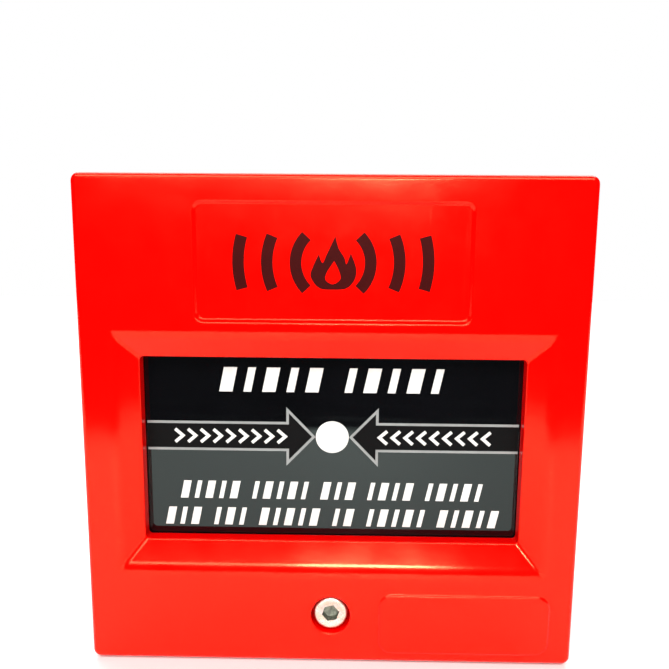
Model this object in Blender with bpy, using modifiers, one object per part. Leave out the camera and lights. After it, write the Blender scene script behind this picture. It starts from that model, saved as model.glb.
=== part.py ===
"""Manual call point: a hinged red cover with a press-in glass pane over a back box that holds a microswitch.

Frame: metres, +Z up, +X to the right as seen from the front, the front face looks along -Y.
The origin is the centre of the back face, on the wall plane.
"""

import math

import bmesh
import bpy
from mathutils import Matrix, Vector

MM = 0.001

# Overall sizes
FACE_WIDTH = 94.0 * MM
FACE_HEIGHT = 94.0 * MM
REAR_DEPTH = 22.0 * MM
COVER_DEPTH = 22.0 * MM

# Shell
WALL = 2.5 * MM
CORNER_RADIUS = 1.5 * MM
FRONT_EDGE_RADIUS = 0.9 * MM
GAP = 0.3 * MM
FIT = 0.1 * MM
SEAM_GAP = 0.3 * MM
LIP_THICKNESS = 1.2 * MM
LIP_HEIGHT = 1.5 * MM
LIP_ROOT = 3.0 * MM
LIP_TOP_MARGIN = 9.0 * MM

# Hinge along the top edge
HINGE_RADIUS = 2.0 * MM
HINGE_PIN_RADIUS = 0.9 * MM
KNUCKLE_LENGTH = 8.0 * MM
KNUCKLE_INSET = 17.0 * MM
KNUCKLE_WEB = 3.0 * MM
PIN_REACH = 10.0 * MM
PIN_END_INSET = 0.6 * MM

# Window recess and glass
WINDOW_SIDE_BAND = 5.4 * MM
WINDOW_TOP_BAND = 29.8 * MM
WINDOW_BOTTOM_BAND = 17.5 * MM
SLOPE_WIDTH = 4.3 * MM
SLOPE_DEPTH = 2.3 * MM
STEP_DEPTH = 2.7 * MM
RIM_WALL = 2.5 * MM
GLASS_OVERLAP = 2.7 * MM
GLASS_THICKNESS = 2.0 * MM
GLASS_CORNER = 0.5 * MM
GLASS_TRAVEL = 2.0 * MM

# Sunk sign panel and blank pad on the face
PANEL_WIDTH = 49.1 * MM
PANEL_HEIGHT = 20.5 * MM
PANEL_TOP_BAND = 5.5 * MM
PANEL_DEPTH = 0.6 * MM
PANEL_CORNER = 0.8 * MM
PAD_WIDTH = 31.9 * MM
PAD_HEIGHT = 10.3 * MM
PAD_SIDE_BAND = 5.4 * MM
PAD_BOTTOM_BAND = 2.4 * MM
PAD_RELIEF = 0.35 * MM
PAD_CORNER = 2.5 * MM

# Cover screw
SCREW_RISE = 9.7 * MM
SCREW_HEAD_RADIUS = 3.3 * MM
SCREW_HEAD_HEIGHT = 3.0 * MM
SCREW_HEAD_SUNK = 0.8 * MM
SCREW_SHANK_RADIUS = 1.75 * MM
SCREW_SOCKET_WIDTH = 3.0 * MM
SCREW_SOCKET_DEPTH = 1.8 * MM
SCREW_ENGAGED = 4.0 * MM
SCREW_PITCH = 0.7 * MM
SCREW_TURNS = 6
SCREW_EDGE = 0.35 * MM
COUNTERBORE_RADIUS = 4.2 * MM
SCREW_BOSS_RADIUS = 6.0 * MM
CLIP_GROOVE_RADIUS = 1.3 * MM
CLIP_RADIUS = 3.2 * MM
CLIP_THICKNESS = 0.6 * MM
CLIP_TO_SEAM = 2.4 * MM
INSERT_CLEARANCE = 0.35 * MM
INSERT_RADIUS = 3.0 * MM
INSERT_LENGTH = 7.0 * MM
INSERT_SUNK = 1.5 * MM
INSERT_BOSS_RADIUS = 4.5 * MM

# Glass carrier, springs and retainer
CARRIER_RIM = 0.9 * MM
CARRIER_FLOOR = 2.0 * MM
CARRIER_BAR = 3.8 * MM
GLASS_SPRING_RADIUS = 1.9 * MM
GLASS_SPRING_WIRE = 0.25 * MM
GLASS_SPRING_TURNS = 4
GLASS_SPRING_INSET = 4.75 * MM
PEG_RADIUS = 1.3 * MM
PEG_HEIGHT = 1.5 * MM
RETAINER_THICKNESS = 1.8 * MM
RETAINER_TO_SEAM = 3.2 * MM
RETAINER_BOSS_RADIUS = 3.0 * MM
RETAINER_BOSS_OFFSET = 4.4 * MM
RETAINER_BOSS_INSET = 4.0 * MM
RETAINER_SCREW_LENGTH = 8.0 * MM
RETAINER_PILOT_SPARE = 1.3 * MM
RETAINER_SIDE_BAR = 11.0 * MM
RETAINER_EDGE_BAR = 12.0 * MM
RETAINER_CLEARANCE = 1.0 * MM

# Chassis inside the back box
CHASSIS_SIDE_MARGIN = 4.5 * MM
CHASSIS_TOP_MARGIN = 4.5 * MM
CHASSIS_THICKNESS = 2.0 * MM
CHASSIS_STANDOFF = 5.5 * MM
CHASSIS_BELOW_PRESS = 9.2 * MM
POST_RADIUS = 3.2 * MM
POST_INSET = 6.0 * MM
WALL_FIXING_SPACING = 60.3 * MM
WALL_SLOT_LENGTH = 8.0 * MM
WALL_SLOT_WIDTH = 4.6 * MM
ACCESS_RADIUS = 4.5 * MM
CABLE_HOLE_RADIUS = 8.5 * MM
CABLE_HOLE_DROP = 17.7 * MM
GROMMET_BORE = 5.0 * MM
GROMMET_FLANGE = 1.5 * MM
GROMMET_FLANGE_THICKNESS = 1.5 * MM

# Microswitch
SWITCH_LENGTH = 20.0 * MM
SWITCH_WIDTH = 6.4 * MM
SWITCH_HEIGHT = 10.0 * MM
SWITCH_BELOW = 4.0 * MM
SWITCH_BRACKET = 2.0 * MM
SWITCH_BRACKET_HEIGHT = 13.0 * MM
SWITCH_HOLE_SPACING = 9.5 * MM
SWITCH_HOLE_HEIGHT = 3.0 * MM
SWITCH_CORNER = 0.5 * MM
LEVER_ARM = 13.5 * MM
LEVER_LENGTH = 17.5 * MM
LEVER_THICKNESS = 0.4 * MM
LEVER_WIDTH = 4.2 * MM
LEVER_BARREL = 0.95 * MM
LEVER_STRIP_SUNK = 0.35 * MM
LEVER_PIN_RADIUS = 0.45 * MM
LEVER_PIVOT_INSET = 1.5 * MM
LEVER_PRESSED_GAP = 0.6 * MM
EAR_INSET = 0.05 * MM
BUTTON_ARM = 7.0 * MM
BUTTON_RADIUS = 1.0 * MM
BUTTON_BURIED = 2.0 * MM
BUTTON_WELL = 2.0 * MM
BUTTON_EDGE = 0.3 * MM
TAB_SPACING = 8.0 * MM
TAB_LENGTH = 4.7 * MM
TAB_THICKNESS = 0.6 * MM
TAB_WIDTH = 3.2 * MM
TAB_HOLE_RADIUS = 0.7 * MM
TAB_EYE_INSET = 1.4 * MM

# Plunger and its bridge
PLUNGER_DROP = 4.8 * MM
PLUNGER_HEAD_RADIUS = 4.0 * MM
PLUNGER_HEAD_THICKNESS = 1.5 * MM
PLUNGER_STEM_RADIUS = 2.0 * MM
PLUNGER_FLANGE_RADIUS = 2.8 * MM
PLUNGER_FLANGE_THICKNESS = 0.6 * MM
PLUNGER_TIP_RADIUS = 1.0 * MM
PLUNGER_TIP_LENGTH = 0.6 * MM
PLUNGER_EDGE = 0.4 * MM
PLUNGER_SPRING_RADIUS = 2.9 * MM
PLUNGER_SPRING_WIRE = 0.2 * MM
PLUNGER_SPRING_TURNS = 3
BRIDGE_THICKNESS = 2.5 * MM
BRIDGE_LEG = 3.0 * MM
BRIDGE_WIDTH = 7.0 * MM
BRIDGE_CLEARANCE = 3.0 * MM
BRIDGE_FOOT = 4.3 * MM
BRIDGE_FOOT_THICKNESS = 2.0 * MM
BRIDGE_EYE_RADIUS = 4.5 * MM

# Circuit board and what stands on it
BOARD_WIDTH = 52.0 * MM
BOARD_HEIGHT = 26.5 * MM
BOARD_THICKNESS = 1.6 * MM
BOARD_STANDOFF = 3.0 * MM
BOARD_TOP_MARGIN = 3.0 * MM
BOARD_HOLE_INSET = 3.6 * MM
STANDOFF_RADIUS = 2.5 * MM
TERMINAL_CELL = 5.08 * MM
TERMINAL_CELLS = 4
TERMINAL_DEPTH = 8.5 * MM
TERMINAL_HEIGHT = 8.5 * MM
TERMINAL_FLOOR = 1.2 * MM
TERMINAL_RISE = 2.5 * MM
TERMINAL_ENTRY = 3.4 * MM
TERMINAL_SCREW_RADIUS = 1.6 * MM
TERMINAL_SCREW_SUNK = 0.8 * MM
TERMINAL_SLOT_WIDTH = 0.5 * MM
TERMINAL_SLOT_DEPTH = 0.7 * MM
RESISTOR_RADIUS = 1.15 * MM
RESISTOR_LENGTH = 6.3 * MM
RESISTOR_LEAD = 0.3 * MM
RESISTOR_SPAN = 11.0 * MM
RESISTOR_LIFT = 0.6 * MM
RESISTOR_CAP = 1.3 * MM
RESISTOR_EDGE = 0.4 * MM
RESISTOR_BEND = 0.8 * MM
RESISTOR_RISE = 3.5 * MM
RESISTOR_PITCH = 4.5 * MM
LEAD_RADIUS = 0.7 * MM
LEAD_HOLE_RADIUS = 4.0 * MM
LEAD_BEND = 2.4 * MM
LEAD_SPACING = 4.0 * MM

# Screws: shank radius, head radius, head height
M3_SCREW = (1.5 * MM, 2.8 * MM, 1.7 * MM)
M25_SCREW = (1.25 * MM, 2.2 * MM, 1.4 * MM)
M2_SCREW = (1.0 * MM, 1.8 * MM, 1.2 * MM)
NUT_HEIGHT = 1.6 * MM
NUT_ACROSS_FLATS = 4.0 * MM

ROUND_STEPS = 24
SMALL_STEPS = 12
MERGE_DISTANCE = 0.01 * MM
SMOOTH_ANGLE = math.radians(35)

# Planes and places worked out from the sizes above
HALF_X = FACE_WIDTH / 2
HALF_Z = FACE_HEIGHT / 2
SEAM_Y = -REAR_DEPTH
FRONT_Y = -(REAR_DEPTH + COVER_DEPTH)
HINGE_Z = HALF_Z - HINGE_RADIUS
KNUCKLE_X = HALF_X - KNUCKLE_INSET
WINDOW_X = HALF_X - WINDOW_SIDE_BAND - SLOPE_WIDTH
WINDOW_TOP = HALF_Z - WINDOW_TOP_BAND - SLOPE_WIDTH
WINDOW_BOTTOM = -HALF_Z + WINDOW_BOTTOM_BAND + SLOPE_WIDTH
RIM_BACK_Y = FRONT_Y + SLOPE_DEPTH + STEP_DEPTH
GLASS_FRONT_Y = RIM_BACK_Y + GAP
GLASS_BACK_Y = GLASS_FRONT_Y + GLASS_THICKNESS
GLASS_X = WINDOW_X + GLASS_OVERLAP
GLASS_TOP = WINDOW_TOP + GLASS_OVERLAP
GLASS_BOTTOM = WINDOW_BOTTOM - GLASS_OVERLAP
CARRIER_FRONT_Y = GLASS_BACK_Y + GAP
CARRIER_BACK_Y = CARRIER_FRONT_Y + CARRIER_FLOOR
RETAINER_BACK_Y = SEAM_Y - RETAINER_TO_SEAM
RETAINER_FRONT_Y = RETAINER_BACK_Y - RETAINER_THICKNESS
RETAINER_BOSS_X = GLASS_X - RETAINER_BOSS_INSET
RETAINER_BOSS_TOP = GLASS_TOP + CARRIER_RIM + GAP + RETAINER_BOSS_OFFSET + RETAINER_BOSS_RADIUS
RETAINER_BOSS_BOTTOM = GLASS_BOTTOM - CARRIER_RIM - 2 * GAP - RETAINER_BOSS_RADIUS
SCREW_Z = -HALF_Z + SCREW_RISE
SCREW_HEAD_FRONT_Y = FRONT_Y + SCREW_HEAD_SUNK
SCREW_HEAD_BACK_Y = SCREW_HEAD_FRONT_Y + SCREW_HEAD_HEIGHT
INSERT_FRONT_Y = SEAM_Y + INSERT_SUNK
SCREW_TIP_Y = INSERT_FRONT_Y + SCREW_ENGAGED
SCREW_TRAVEL = SCREW_PITCH * SCREW_TURNS
CLIP_BACK_Y = SEAM_Y - CLIP_TO_SEAM
CLIP_FRONT_Y = CLIP_BACK_Y - CLIP_THICKNESS
SCREW_BOSS_BACK_Y = CLIP_FRONT_Y - SCREW_TRAVEL - GAP
CHASSIS_BACK_Y = -WALL - CHASSIS_STANDOFF
CHASSIS_FRONT_Y = CHASSIS_BACK_Y - CHASSIS_THICKNESS
CHASSIS_X = HALF_X - WALL - CHASSIS_SIDE_MARGIN
CHASSIS_TOP = HALF_Z - WALL - CHASSIS_TOP_MARGIN
PRESS_Z = -PLUNGER_DROP
CHASSIS_BOTTOM = PRESS_Z - CHASSIS_BELOW_PRESS
POST_X = CHASSIS_X - POST_INSET
POST_TOP = CHASSIS_TOP - POST_INSET
POST_BOTTOM = CHASSIS_BOTTOM + POST_INSET
CABLE_Z = PRESS_Z - CABLE_HOLE_DROP
CASE_BACK_Y = CHASSIS_FRONT_Y - SWITCH_BELOW
CASE_FRONT_Y = CASE_BACK_Y - SWITCH_HEIGHT
CASE_LOW_Z = PRESS_Z - SWITCH_WIDTH / 2
CASE_HIGH_Z = PRESS_Z + SWITCH_WIDTH / 2
PIVOT_X = -LEVER_ARM
CASE_LEFT_X = PIVOT_X - LEVER_PIVOT_INSET
CASE_RIGHT_X = CASE_LEFT_X + SWITCH_LENGTH
STRIP_OFFSET = LEVER_BARREL - LEVER_STRIP_SUNK
PIVOT_Y = CASE_FRONT_Y - LEVER_PRESSED_GAP - STRIP_OFFSET
LEVER_ANGLE = math.asin(GLASS_TRAVEL / LEVER_ARM)
LEVER_FRONT_Y = PIVOT_Y + STRIP_OFFSET - LEVER_THICKNESS - GLASS_TRAVEL
BUTTON_TIP_Y = PIVOT_Y + STRIP_OFFSET - BUTTON_ARM * math.sin(LEVER_ANGLE) + GAP
BUTTON_TRAVEL = BUTTON_ARM * math.sin(LEVER_ANGLE)
PLUNGER_TIP_Y = LEVER_FRONT_Y - GAP
PLUNGER_FRONT_Y = GLASS_BACK_Y + GAP
PLUNGER_FLANGE_BACK_Y = PLUNGER_TIP_Y - PLUNGER_TIP_LENGTH
PLUNGER_FLANGE_FRONT_Y = PLUNGER_FLANGE_BACK_Y - PLUNGER_FLANGE_THICKNESS
PLUNGER_HEAD_BACK_Y = PLUNGER_FRONT_Y + PLUNGER_HEAD_THICKNESS
BRIDGE_BACK_Y = PLUNGER_FLANGE_FRONT_Y - GAP
BRIDGE_FRONT_Y = BRIDGE_BACK_Y - BRIDGE_THICKNESS
BRIDGE_LEFT_X = CASE_LEFT_X - BRIDGE_CLEARANCE - BRIDGE_LEG
BRIDGE_RIGHT_X = CASE_RIGHT_X + BRIDGE_CLEARANCE + BRIDGE_LEG
BOARD_TOP = CHASSIS_TOP - BOARD_TOP_MARGIN
BOARD_BOTTOM = BOARD_TOP - BOARD_HEIGHT
BOARD_BACK_Y = CHASSIS_FRONT_Y - BOARD_STANDOFF - GAP
BOARD_FRONT_Y = BOARD_BACK_Y - BOARD_THICKNESS
BOARD_HOLE_X = BOARD_WIDTH / 2 - BOARD_HOLE_INSET
TERMINAL_BOTTOM = BOARD_BOTTOM + TERMINAL_RISE
TERMINAL_BACK_Y = BOARD_FRONT_Y - GAP
TERMINAL_FRONT_Y = TERMINAL_BACK_Y - TERMINAL_HEIGHT
LEAD_HOLE_X = (CASE_LEFT_X + CASE_RIGHT_X) / 2
LEAD_HOLE_Z = BOARD_BOTTOM + BOARD_HOLE_INSET

FACING_FRONT = (math.pi / 2, 0, 0)
FACING_BACK = (-math.pi / 2, 0, 0)
FACING_UP = (0, 0, 0)
ALONG_X = (0, math.pi / 2, 0)

COLOURS = {
    "red_plastic": ((0.75, 0.004, 0.002), 0.3, 0.0),
    "glass": ((0.02, 0.025, 0.025), 0.05, 0.0),
    "steel": ((0.62, 0.61, 0.58), 0.3, 1.0),
    "spring_steel": ((0.45, 0.45, 0.44), 0.35, 1.0),
    "brass": ((0.78, 0.56, 0.25), 0.3, 1.0),
    "black_plastic": ((0.02, 0.02, 0.022), 0.45, 0.0),
    "white_plastic": ((0.75, 0.74, 0.70), 0.45, 0.0),
    "green_plastic": ((0.03, 0.22, 0.09), 0.4, 0.0),
    "board": ((0.02, 0.13, 0.05), 0.4, 0.0),
    "rubber": ((0.03, 0.03, 0.03), 0.8, 0.0),
    "resistor": ((0.60, 0.47, 0.30), 0.5, 0.0),
    "lead_red": ((0.60, 0.02, 0.02), 0.5, 0.0),
    "lead_black": ((0.02, 0.02, 0.02), 0.5, 0.0),
    "switch_case": ((0.05, 0.05, 0.06), 0.4, 0.0),
    "switch_button": ((0.65, 0.12, 0.03), 0.4, 0.0),
}


def clear_scene():
    for item in list(bpy.data.objects):
        bpy.data.objects.remove(item, do_unlink=True)


def new_collection(name):
    collection = bpy.data.collections.new(name)
    bpy.context.scene.collection.children.link(collection)
    return collection


clear_scene()
PARTS = new_collection("manual_call_point")
CUTTERS = new_collection("cutters")


def material(name):
    """The Principled material of that name, made the first time it is asked for."""
    found = bpy.data.materials.get(name)
    if found:
        return found
    colour, roughness, metallic = COLOURS[name]
    made = bpy.data.materials.new(name)
    made.use_nodes = True
    shader = made.node_tree.nodes["Principled BSDF"]
    shader.inputs["Base Color"].default_value = (*colour, 1.0)
    shader.inputs["Roughness"].default_value = roughness
    shader.inputs["Metallic"].default_value = metallic
    return made


def body_empty(name, place):
    """An empty on a joint's axis that the pieces of one moving body hang from."""
    empty = bpy.data.objects.new(name, None)
    empty.location = place
    empty.empty_display_size = 5.0 * MM
    PARTS.objects.link(empty)
    return empty


def mesh_object(name, built, place=(0, 0, 0), turned=(0, 0, 0)):
    """Wraps a bmesh as an object in the cutters' collection, until finish_piece claims it."""
    mesh = bpy.data.meshes.new(name)
    built.to_mesh(mesh)
    built.free()
    item = bpy.data.objects.new(name, mesh)
    item.location = place
    item.rotation_euler = turned
    item.hide_render = True
    item.display_type = "WIRE"
    CUTTERS.objects.link(item)
    return item


def block(name, low, high, corner=0.0, front_edge=0.0):
    """A box between two corners, its edges along Y rounded by corner and its front outline by front_edge."""
    centre = [(a + b) / 2 for a, b in zip(low, high)]
    size = [b - a for a, b in zip(low, high)]
    built = bmesh.new()
    bmesh.ops.create_cube(built, size=1.0, matrix=Matrix.Diagonal((*size, 1.0)))
    if corner:
        along_y = [e for e in built.edges if abs((e.verts[0].co - e.verts[1].co).y) > size[1] / 2]
        bmesh.ops.bevel(built, geom=along_y, offset=corner, segments=4, affect="EDGES", profile=0.5)
    if front_edge:
        front = -size[1] / 2
        outline = [e for e in built.edges if all(abs(v.co.y - front) < 1e-6 for v in e.verts)]
        bmesh.ops.bevel(built, geom=outline, offset=front_edge, segments=3, affect="EDGES", profile=0.5)
    return mesh_object(name, built, centre)


def rod(name, radius, length, start, turned, steps=ROUND_STEPS):
    """A round bar that starts at a point and runs along its own +Z, turned to face the way asked."""
    built = bmesh.new()
    middle = Matrix.Translation((0, 0, length / 2))
    bmesh.ops.create_cone(
        built, cap_ends=True, segments=steps, radius1=radius, radius2=radius, depth=length, matrix=middle
    )
    return mesh_object(name, built, start, turned)


def rod_y(name, radius, x, z, back, front, steps=ROUND_STEPS):
    """A round bar along Y from its back to its front."""
    return rod(name, radius, back - front, (x, back, z), FACING_FRONT, steps)


def rod_x(name, radius, left, right, y, z, steps=ROUND_STEPS):
    """A round bar along X."""
    return rod(name, radius, right - left, (left, y, z), ALONG_X, steps)


def turned_piece(name, profile, start, turned, closed=False, steps=ROUND_STEPS):
    """A profile of (radius, height) points, listed down its outer side, spun about its own Z."""
    built = bmesh.new()
    points = [built.verts.new((radius, 0, height)) for radius, height in profile]
    for first, second in zip(points, points[1:]):
        built.edges.new((first, second))
    if closed:
        built.edges.new((points[-1], points[0]))
    item = mesh_object(name, built, start, turned)
    spin = item.modifiers.new("spin", "SCREW")
    spin.axis = "Z"
    spin.angle = 2 * math.pi
    spin.screw_offset = 0
    spin.steps = steps
    spin.render_steps = steps
    spin.use_merge_vertices = True
    spin.merge_threshold = MERGE_DISTANCE
    spin.use_smooth_shade = True
    return item


def ring_piece(name, outer, inner, thickness, start, turned, steps=ROUND_STEPS):
    """A flat ring that starts at a point and grows along its own +Z."""
    profile = [(outer, thickness), (outer, 0), (inner, 0), (inner, thickness)]
    return turned_piece(name, profile, start, turned, closed=True, steps=steps)


def combine(target, tool, operation):
    step = target.modifiers.new(tool.name, "BOOLEAN")
    step.operation = operation
    step.solver = "EXACT"
    step.object = tool
    return target


def cut(target, *tools):
    for tool in tools:
        combine(target, tool, "DIFFERENCE")
    return target


def join(target, *tools):
    for tool in tools:
        combine(target, tool, "UNION")
    return target


def finish_piece(item, colour, parent, smooth=False):
    """Moves a piece out of the cutters' collection, shows it, paints it and hangs it on its body."""
    CUTTERS.objects.unlink(item)
    PARTS.objects.link(item)
    item.hide_render = False
    item.display_type = "TEXTURED"
    item.data.materials.clear()
    item.data.materials.append(material(colour))
    if smooth and item.type == "MESH":
        item.data.shade_smooth()
        item.data.set_sharp_from_angle(angle=SMOOTH_ANGLE)
    item.parent = parent
    item.matrix_parent_inverse = Matrix.Translation(parent.location).inverted()
    return item


def wire_curve(name, points, radius, place=(0, 0, 0)):
    """A round wire along a list of points, with its ends capped."""
    curve = bpy.data.curves.new(name, "CURVE")
    curve.dimensions = "3D"
    curve.bevel_depth = radius
    curve.bevel_resolution = 2
    curve.use_fill_caps = True
    spline = curve.splines.new("POLY")
    spline.points.add(len(points) - 1)
    for slot, point in zip(spline.points, points):
        slot.co = (*point, 1.0)
    item = bpy.data.objects.new(name, curve)
    item.location = place
    item.hide_render = True
    CUTTERS.objects.link(item)
    return item


def curve_to_mesh(item):
    """Turns a wire into a closed mesh, so that it can be joined to another piece."""
    bpy.context.view_layer.update()
    graph = bpy.context.evaluated_depsgraph_get()
    mesh = bpy.data.meshes.new_from_object(item.evaluated_get(graph))
    built = bmesh.new()
    built.from_mesh(mesh)
    bmesh.ops.remove_doubles(built, verts=built.verts, dist=MERGE_DISTANCE)
    made = mesh_object(item.name + "_mesh", built)
    made.matrix_world = item.matrix_world
    bpy.data.objects.remove(item, do_unlink=True)
    return made


def coil_points(radius, length, turns, steps_per_turn=6):
    """A compression spring along +Z with its two end turns closed up."""
    total = turns * steps_per_turn
    points = []
    for i in range(total + 1):
        share = i / total
        angle = 2 * math.pi * turns * share
        rise = 0.5 - 0.5 * math.cos(math.pi * share)
        height = length * (0.55 * share + 0.45 * rise)
        points.append((radius * math.cos(angle), radius * math.sin(angle), height))
    return points


def spring_y(name, radius, wire, turns, x, z, back, front, parent):
    """A coil spring along Y, which keeps GAP to what holds it at each end."""
    length = back - front - 2 * GAP - 2 * wire
    item = wire_curve(name, coil_points(radius, length, turns), wire, (x, back - GAP - wire, z))
    item.rotation_euler = FACING_FRONT
    return finish_piece(item, "spring_steel", parent)


def screw_piece(name, size, length, seat, facing, parent, colour="steel"):
    """A pan head screw. Its head sits on seat and looks along facing, and its shank runs the other way."""
    shank, head, height = size
    profile = [
        (0, height),
        (head * 0.62, height),
        (head, height * 0.55),
        (head, 0),
        (shank, 0),
        (shank, -length),
        (0, -length),
    ]
    item = turned_piece(name, profile, seat, facing, steps=SMALL_STEPS)
    return finish_piece(item, colour, parent, smooth=True)


def mirrored(value):
    return (-value, value)


# ---------------------------------------------------------------- rear housing


def locating_lip():
    """The rim that stands out of the back box and sits inside the cover's side and bottom walls."""
    outer_x = HALF_X - WALL - GAP
    outer_z = HALF_Z - WALL - GAP
    front = SEAM_Y - LIP_HEIGHT
    back = SEAM_Y + LIP_ROOT
    lip = block("lip", (-outer_x, front, -outer_z), (outer_x, back, outer_z), CORNER_RADIUS / 2)
    root_x = HALF_X - WALL / 2
    root_z = HALF_Z - WALL / 2
    root_front = SEAM_Y + SEAM_GAP
    root = block("lip_root", (-root_x, root_front, -root_z), (root_x, back - GAP, root_z), CORNER_RADIUS)
    inner_x = outer_x - LIP_THICKNESS
    inner_z = outer_z - LIP_THICKNESS
    hollow = block("lip_hollow", (-inner_x, front - WALL, -inner_z), (inner_x, 0, inner_z), CORNER_RADIUS / 2)
    top = block(
        "lip_top_cut", (-HALF_X, front - WALL, HALF_Z - LIP_TOP_MARGIN), (HALF_X, 0, HALF_Z + WALL)
    )
    join(lip, root)
    return cut(lip, hollow, top)


def build_rear_housing(parent):
    seam_face = SEAM_Y + SEAM_GAP / 2
    outer = block("rear_housing", (-HALF_X, seam_face, -HALF_Z), (HALF_X, 0, HALF_Z), CORNER_RADIUS)
    inner_x = HALF_X - WALL
    inner_z = HALF_Z - WALL
    hollow = block(
        "rear_hollow", (-inner_x, SEAM_Y - WALL, -inner_z), (inner_x, -WALL, inner_z), CORNER_RADIUS / 2
    )
    cut(outer, hollow)
    join(outer, locating_lip())

    relief = HINGE_RADIUS + GAP
    cut(
        outer,
        rod_x("hinge_relief", relief, -HALF_X - WALL, HALF_X + WALL, SEAM_Y, HINGE_Z),
        block(
            "hinge_relief_top",
            (-HALF_X - WALL, SEAM_Y - WALL, HINGE_Z),
            (HALF_X + WALL, SEAM_Y + relief, HALF_Z + WALL),
        ),
    )
    for x in mirrored(KNUCKLE_X):
        left = x - KNUCKLE_LENGTH / 2
        right = x + KNUCKLE_LENGTH / 2
        web = block(
            f"rear_web_{x > 0:d}",
            (left, SEAM_Y, HINGE_Z - HINGE_RADIUS * 0.9),
            (right, SEAM_Y + HINGE_RADIUS + KNUCKLE_WEB - GAP, HINGE_Z + HINGE_RADIUS * 0.6),
        )
        knuckle = rod_x(f"rear_knuckle_{x > 0:d}", HINGE_RADIUS, left, right, SEAM_Y, HINGE_Z)
        bore_radius = HINGE_PIN_RADIUS + FIT
        bore_ends = (left - WALL, right + WALL)
        bore = rod_x(f"rear_bore_{x > 0:d}", bore_radius, *bore_ends, SEAM_Y, HINGE_Z, SMALL_STEPS)
        join(outer, web, knuckle)
        cut(outer, bore)

    boss = rod_y("insert_boss", INSERT_BOSS_RADIUS, 0, SCREW_Z, -WALL / 2, INSERT_FRONT_Y)
    join(outer, boss)
    pocket_back = INSERT_FRONT_Y + INSERT_LENGTH + GAP
    cut(outer, rod_y("insert_pocket", INSERT_RADIUS + FIT, 0, SCREW_Z, pocket_back, SEAM_Y - WALL))
    shank = M3_SCREW[0] + FIT
    for x in mirrored(POST_X):
        for z in (POST_BOTTOM, POST_TOP):
            name = f"post_{x > 0:d}_{z > 0:d}"
            join(outer, rod_y(name, POST_RADIUS, x, z, -WALL / 2, CHASSIS_BACK_Y + GAP, SMALL_STEPS))
            cut(outer, rod_y(name + "_hole", shank, x, z, -WALL, CHASSIS_BACK_Y - WALL, SMALL_STEPS))
    for x in mirrored(WALL_FIXING_SPACING / 2):
        half_length = WALL_SLOT_LENGTH / 2
        half_width = WALL_SLOT_WIDTH / 2
        slot = block(
            f"wall_slot_{x > 0:d}",
            (x - half_length, -2 * WALL, -half_width),
            (x + half_length, WALL, half_width),
            half_width * 0.98,
        )
        cut(outer, slot)
    cut(outer, rod_y("cable_hole", CABLE_HOLE_RADIUS, 0, CABLE_Z, WALL, -2 * WALL))
    return finish_piece(outer, "red_plastic", parent, smooth=True)


def build_cable_grommet(parent):
    sleeve = CABLE_HOLE_RADIUS - GAP
    flange = CABLE_HOLE_RADIUS + GROMMET_FLANGE
    top = WALL + GAP + GROMMET_FLANGE_THICKNESS
    profile = [
        (flange, top),
        (flange, WALL + GAP),
        (sleeve, WALL + GAP),
        (sleeve, GAP),
        (GROMMET_BORE, GAP),
        (GROMMET_BORE, top),
    ]
    item = turned_piece("cable_grommet", profile, (0, 0, CABLE_Z), FACING_FRONT, closed=True)
    return finish_piece(item, "rubber", parent, smooth=True)


def build_screw_insert(parent):
    back = INSERT_FRONT_Y + INSERT_LENGTH
    bore = SCREW_SHANK_RADIUS + INSERT_CLEARANCE
    item = ring_piece("screw_insert", INSERT_RADIUS, bore, INSERT_LENGTH, (0, back, SCREW_Z), FACING_FRONT)
    return finish_piece(item, "brass", parent, smooth=True)


# ---------------------------------------------------------------- chassis, board and terminals


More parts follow.
